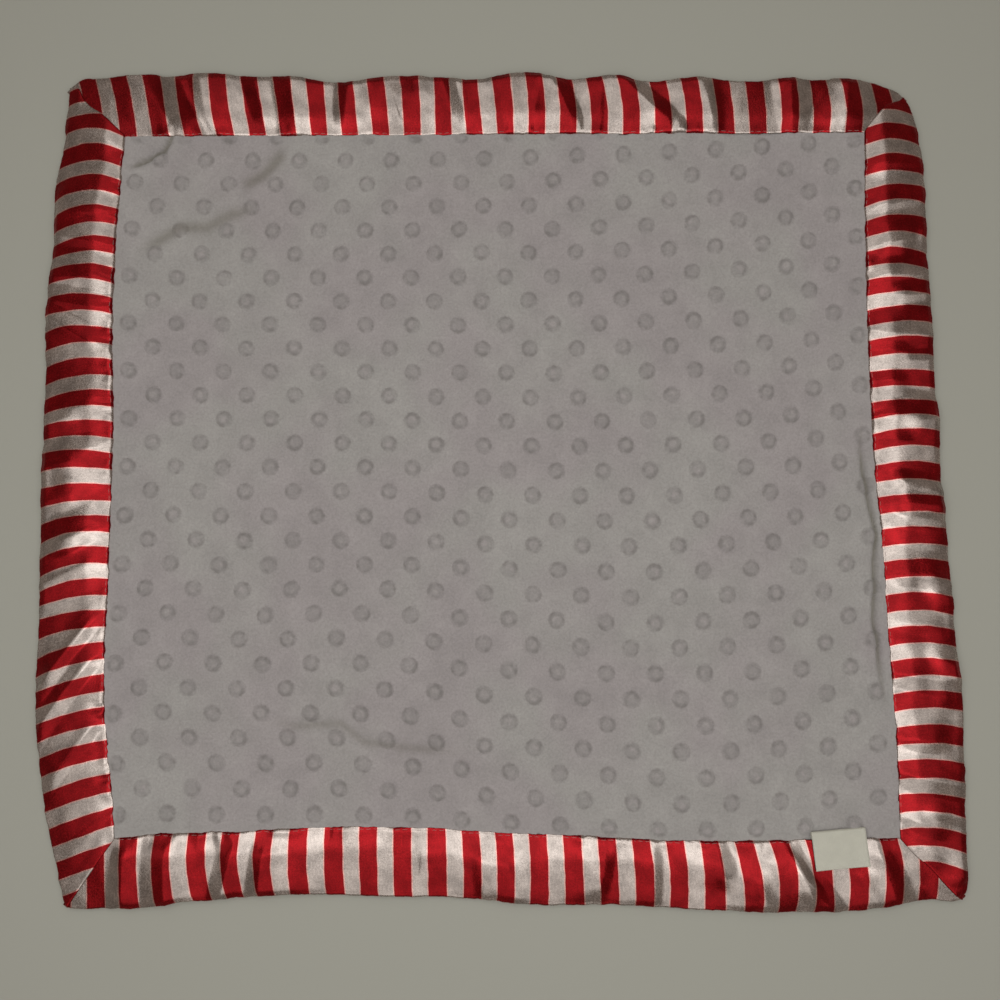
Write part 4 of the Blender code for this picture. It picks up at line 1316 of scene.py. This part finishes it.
def build_binding(side, material):
    """Folded satin strip. Its ends run on under the next side's, or over them with a turned edge."""
    binding = bpy.context.scene.lovey_binding
    past = UPPER_END_ROWS if side in UPPER_SIDES else LOWER_END_ROWS
    along = np.concatenate([[0.0] * len(past), np.linspace(0.0, 1.0, SIDE_STEPS + 1), [1.0] * len(past)])
    run = Run(side, along)
    columns = section_columns(run)
    widths = np.array([width for width, _ in columns]).T
    heights = np.array([height for _, height in columns]).T
    points = np.stack([run.plan(width) for width, _ in columns], axis=1)
    cloth_u = np.stack([run.cloth_place(width) for width, _ in columns], axis=1)
    middle = len(along) // 2
    steps_across = np.hypot(np.diff(widths[middle]), np.diff(heights[middle]))
    cloth_v = np.concatenate([[0.0], np.cumsum(steps_across)])
    for end in (0, -1):
        away = np.array((-run.run[end][1], run.run[end][0]))
        if away @ (points[middle, 0] - points[end, 0]) > 0.0:
            away = -away
        for number, (out, drop) in enumerate(past):
            row = len(past) - 1 - number if end == 0 else len(along) - len(past) + number
            points[row] += away * out
            heights[row] = np.maximum(heights[row] + drop, binding.satin_thickness / 2.0)
            cloth_u[row] += out * (-1.0 if end == 0 else 1.0)
    shape = bmesh.new()
    bmesh.ops.create_grid(shape, x_segments=len(along) - 1, y_segments=len(columns) - 1, size=0.5)
    mesh = mesh_of("satin_" + side, shape)
    grid = get_points(mesh)
    row = np.rint((grid[:, 0] + 0.5) * (len(along) - 1)).astype(int)
    column = np.rint((grid[:, 1] + 0.5) * (len(columns) - 1)).astype(int)
    set_points(mesh, np.column_stack([points[row, column], heights[row, column]]))
    set_uv(mesh, np.column_stack([cloth_u[row, column], cloth_v[column]]))
    shape = bmesh.new()
    shape.from_mesh(mesh)
    shape.normal_update()
    front = [face for face in shape.faces if face.calc_center_median().z > binding.front_level]
    if sum(face.normal.z for face in front) < 0.0:
        bmesh.ops.reverse_faces(shape, faces=shape.faces)
    shape.to_mesh(mesh)
    shape.free()
    item = add_object(mesh, material)
    add_wall(item, "Cloth thickness", binding.satin_thickness)
    return item, float(cloth_v[-1])


def thread_mesh(name, starts, ends, radius):
    """Stitches between pairs of points, one small form with tapered ends for each."""
    starts, ends = np.asarray(starts), np.asarray(ends)
    spacing = 10.0
    count = 1
    shape = bmesh.new()
    bmesh.ops.create_uvsphere(shape, u_segments=6, v_segments=5, radius=1.0)
    # All stitches so far are doubled until there are enough
    while count < len(starts):
        more = min(count, len(starts) - count)
        source = [face for face in shape.faces if face.calc_center_median().z < (more - 0.5) * spacing]
        copy_by(shape, source, (0.0, 0.0, count * spacing))
        count += more
    mesh = mesh_of(name, shape)
    local = get_points(mesh)
    number = np.rint(local[:, 2] / spacing).astype(int)
    way = (ends - starts) / 2.0
    beside = np.cross(way, (0.0, 0.0, 1.0))
    beside /= np.linalg.norm(beside, axis=1)[:, None]
    above = np.cross(beside, way / np.linalg.norm(way, axis=1)[:, None])
    lengthwise = (local[:, 2] - spacing * number)[:, None] * way[number]
    sideways = radius * (local[:, :1] * beside[number] + local[:, 1:2] * above[number])
    set_points(mesh, ((starts + ends) / 2.0)[number] + lengthwise + sideways)
    return mesh


def build_topstitch(side, material):
    """Two rows of lockstitch: the needle's thread above and the bobbin's below."""
    thread = bpy.context.scene.lovey_thread
    length = Run(side, np.array([0.0])).side_length
    count = int((length - TOPSTITCH_MARGIN) / thread.pitch)
    margin = (length - count * thread.pitch) / 2.0
    half_gap = (thread.pitch - thread.stitch) / 2.0
    starts = (margin + half_gap + np.arange(count) * thread.pitch) / length
    rise = bpy.context.scene.lovey_binding.satin_thickness / 2.0 - THREAD_SUNK * thread.diameter
    ends = []
    for places in (starts, starts + thread.stitch / length):
        run = Run(side, places)
        width = np.full(count, thread.inset)
        plan = run.plan(width)
        ends.append(np.concatenate([np.column_stack([plan, run.front(width) + rise]),
                                    np.column_stack([plan, run.back(width) - rise])]))
    return add_object(thread_mesh("topstitch_" + side, *ends, thread.diameter / 2.0), material)


def build_mitre_stitches(corner, side, material):
    """A short row of hand stitches that closes a mitre, on the side that lies over the other."""
    thread = bpy.context.scene.lovey_thread
    end, inside = (0.0, MITRE_SIDE_SHARE) if SIDE_ENDS[side][0] == corner else (1.0, 1.0 - MITRE_SIDE_SHARE)
    end_length = Run(side, np.array([end])).length[0]
    width = np.arange(MITRE_MARGIN, end_length - MITRE_MARGIN, MITRE_PITCH)
    run = Run(side, np.full(len(width), end))
    way = Run(side, np.full(len(width), inside)).plan(width) - run.plan(width)
    way /= np.linalg.norm(way, axis=1)[:, None]
    height = run.front(width) + bpy.context.scene.lovey_binding.satin_thickness / 2.0
    starts = np.column_stack([run.plan(width) - MITRE_STITCH[0] * way, height - MITRE_DEPTH])
    ends = np.column_stack([run.plan(width) + MITRE_STITCH[1] * way, height])
    radius = MITRE_THREAD * thread.diameter
    return add_object(thread_mesh("mitre_stitch_" + corner, starts, ends, radius), material)


def frame_label_height():
    """Height of the axis that the label's free end turns about."""
    low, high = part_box("label_flap")
    return (low.z + high.z) / 2.0


def label_path(count):
    """Distance out from the fold and height at even steps along the label, sewn end first."""
    label = bpy.context.scene.lovey_label
    high = frame_label_height()
    radius = (high - label.low_level) / 2.0
    centre_out = radius - LABEL_SEAT
    sewn = label.stand + label.hidden - centre_out
    free = label.length - centre_out
    total = sewn + math.pi * radius + free
    out, up = [], []
    for place in np.linspace(0.0, total, count):
        turn = min(max((place - sewn) / radius, 0.0), math.pi)
        straight = max(sewn - place, place - sewn - math.pi * radius, 0.0)
        out.append(centre_out + straight - radius * math.sin(turn))
        up.append(label.low_level + radius * (1.0 - math.cos(turn)))
    return np.array(out), np.array(up), total


def build_label(material):
    """Tape from its sewn end round its fold to its free end."""
    label = bpy.context.scene.lovey_label
    across, steps = LABEL_GRID
    out, up, total = label_path(steps + 1)
    middle, line, free_way = label_line()
    shape = bmesh.new()
    bmesh.ops.create_grid(shape, x_segments=across, y_segments=steps, size=0.5)
    mesh = mesh_of("label_tape", shape)
    grid = get_points(mesh)
    row = np.rint((grid[:, 1] + 0.5) * steps).astype(int)
    side = grid[:, 0] * label.width
    free_share = np.clip(out[row] / label.length, 0.0, 1.0) * (up[row] > frame_label_height() - 1e-6)
    curl = LABEL_CURL[0] * (2.0 * grid[:, 0]) ** 4 * free_share + LABEL_CURL[1] * free_share ** 4
    plan = middle + np.outer(side, line) + np.outer(out[row], free_way)
    set_points(mesh, np.column_stack([plan, up[row] + curl]))
    set_uv(mesh, np.column_stack([side, row * total / steps]))
    item = add_object(mesh, material)
    add_wall(item, "Tape thickness", label.thickness)
    return item, total


def build_label_stitches(material):
    """Row of stitches that holds the label's sewn end, on the plush side of the seam."""
    label = bpy.context.scene.lovey_label
    thread = bpy.context.scene.lovey_thread
    middle, line, free_way = label_line()
    top = label.low_level + label.thickness / 2.0 + LABEL_THREAD_RISE * thread.diameter
    places = np.arange(-LABEL_ROW, LABEL_ROW, thread.pitch)[:, None]
    plan = middle + line * places + free_way * LABEL_ROW_PLACE
    starts = np.column_stack([plan, np.full(len(places), top)])
    ends = starts + thread.stitch * np.append(line, 0.0)
    return add_object(thread_mesh("label_stitches", starts, ends, thread.diameter / 2.0), material)


def build_floor(material):
    stage = bpy.context.scene.lovey_stage
    shape = bmesh.new()
    bmesh.ops.create_grid(shape, x_segments=8, y_segments=8, size=stage.floor_size / 2.0)
    bmesh.ops.translate(shape, verts=shape.verts, vec=(0.0, 0.0, -FLOOR_DROP))
    return add_object(mesh_of("floor", shape), material)


def add_softbox(name, right, away, up, width, depth, share):
    """An area light that hangs level and faces down."""
    stage = bpy.context.scene.lovey_stage
    lamp = bpy.data.lights.new(name, "AREA")
    lamp.shape = "RECTANGLE"
    lamp.size = width
    lamp.size_y = depth
    lamp.energy = share * stage.softbox_radiance * math.pi * width * depth
    item = bpy.data.objects.new(name, lamp)
    item.location = (right, away, up)
    bpy.context.scene.collection.objects.link(item)


class LoveyOperator:
    """What the operators share"""
    bl_options = {"REGISTER", "UNDO"}


class LOVEY_OT_front_panel(LoveyOperator, bpy.types.Operator):
    """Add the front panel of dimple-dot plush"""
    bl_idname = "lovey.front_panel"
    bl_label = "Front Panel"

    def execute(self, context):
        panel = build_front_panel(material_once("minky_dot_plush", make_plush))
        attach(panel, "blanket")
        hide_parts("front_panel")
        return {"FINISHED"}


class LOVEY_OT_back_panel(LoveyOperator, bpy.types.Operator):
    """Add the plain plush panel at the back"""
    bl_idname = "lovey.back_panel"
    bl_label = "Back Panel"

    def execute(self, context):
        panel = build_back_panel(material_once("minky_plain_plush", make_plush))
        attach(panel, "blanket")
        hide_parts("back_panel")
        return {"FINISHED"}


class LOVEY_OT_binding(LoveyOperator, bpy.types.Operator):
    """Add the four folded runs of striped satin binding"""
    bl_idname = "lovey.binding"
    bl_label = "Satin Binding"

    def execute(self, context):
        material = material_once("striped_polyester_satin", make_satin)
        for side in SIDE_ENDS:
            strip, cut_width = build_binding(side, material)
            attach(strip, "blanket")
            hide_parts("binding_" + side)
        return {"FINISHED"}


class LOVEY_OT_topstitch(LoveyOperator, bpy.types.Operator):
    """Add the topstitching through binding and panels, and the stitches that close the mitres"""
    bl_idname = "lovey.topstitch"
    bl_label = "Topstitching"

    def execute(self, context):
        material = material_once("spun_polyester_thread", make_thread)
        for side in SIDE_ENDS:
            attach(build_topstitch(side, material), "blanket")
        for side in UPPER_SIDES:
            for corner in SIDE_ENDS[side]:
                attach(build_mitre_stitches(corner, side, material), "blanket")
        return {"FINISHED"}


class LOVEY_OT_label(LoveyOperator, bpy.types.Operator):
    """Add the bare label, sewn in at one end and folded over the seam"""
    bl_idname = "lovey.label"
    bl_label = "Label"

    def execute(self, context):
        tape, total = build_label(material_once("woven_label_tape", make_tape))
        middle = label_line()[0]
        stitches = build_label_stitches(material_once("spun_polyester_thread", make_thread))
        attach(stitches, "blanket")
        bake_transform(tape)
        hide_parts("label_tab", "label_flap")
        return {"FINISHED"}


class LOVEY_OT_stage(LoveyOperator, bpy.types.Operator):
    """Add the floor, the soft light and the camera"""
    bl_idname = "lovey.stage"
    bl_label = "Stage"

    def execute(self, context):
        scene = context.scene
        stage = scene.lovey_stage
        build_floor(material_once("matt_painted_board", make_floor))
        for name, sizes in SOFTBOXES.items():
            add_softbox(name, *sizes)
        world = bpy.data.worlds.new("even_light")
        world.use_nodes = True
        back = world.node_tree.nodes["Background"]
        back.inputs["Color"].default_value = rgba(stage.sky_color)
        back.inputs["Strength"].default_value = stage.sky_strength
        scene.world = world
        camera = bpy.data.cameras.new("camera")
        camera.lens = stage.focal_length
        camera.sensor_width = SENSOR_WIDTH
        camera.clip_start = CLIP_START
        item = bpy.data.objects.new("camera", camera)
        item.location = stage.camera_place
        item.rotation_euler = stage.camera_turn
        scene.collection.objects.link(item)
        scene.camera = item
        scene.view_settings.view_transform = "Standard"
        return {"FINISHED"}


OPERATORS = (LOVEY_OT_stage, LOVEY_OT_back_panel, LOVEY_OT_front_panel, LOVEY_OT_binding,
             LOVEY_OT_topstitch, LOVEY_OT_label)
GROUPS = {"lovey_panels": LoveyPanels, "lovey_binding": LoveyBinding, "lovey_thread": LoveyThread,
          "lovey_label": LoveyLabel, "lovey_stage": LoveyStage}


class LOVEY_PT_pieces(bpy.types.Panel):
    """Pieces of the comfort blanket and their sizes"""
    bl_label = "Comfort Blanket Lovey"
    bl_idname = "LOVEY_PT_pieces"
    bl_space_type = "VIEW_3D"
    bl_region_type = "UI"
    bl_category = "Lovey"

    def draw(self, context):
        for operator in OPERATORS:
            self.layout.operator(operator.bl_idname)
        for name, group in GROUPS.items():
            box = self.layout.box()
            box.label(text=name.replace("lovey_", "").capitalize())
            for setting in group.__annotations__:
                box.prop(getattr(context.scene, name), setting)


def register():
    for item in (*GROUPS.values(), *OPERATORS, LOVEY_PT_pieces):
        bpy.utils.register_class(item)
    for name, group in GROUPS.items():
        setattr(bpy.types.Scene, name, PointerProperty(type=group))


def unregister():
    for name in GROUPS:
        delattr(bpy.types.Scene, name)
    for item in reversed((*GROUPS.values(), *OPERATORS, LOVEY_PT_pieces)):
        bpy.utils.unregister_class(item)


def main():
    register()
    bpy.ops.lovey.stage()
    bpy.ops.lovey.back_panel()
    bpy.ops.lovey.front_panel()
    bpy.ops.lovey.binding()
    bpy.ops.lovey.topstitch()
    bpy.ops.lovey.label()


if __name__ == "__main__":
    main()
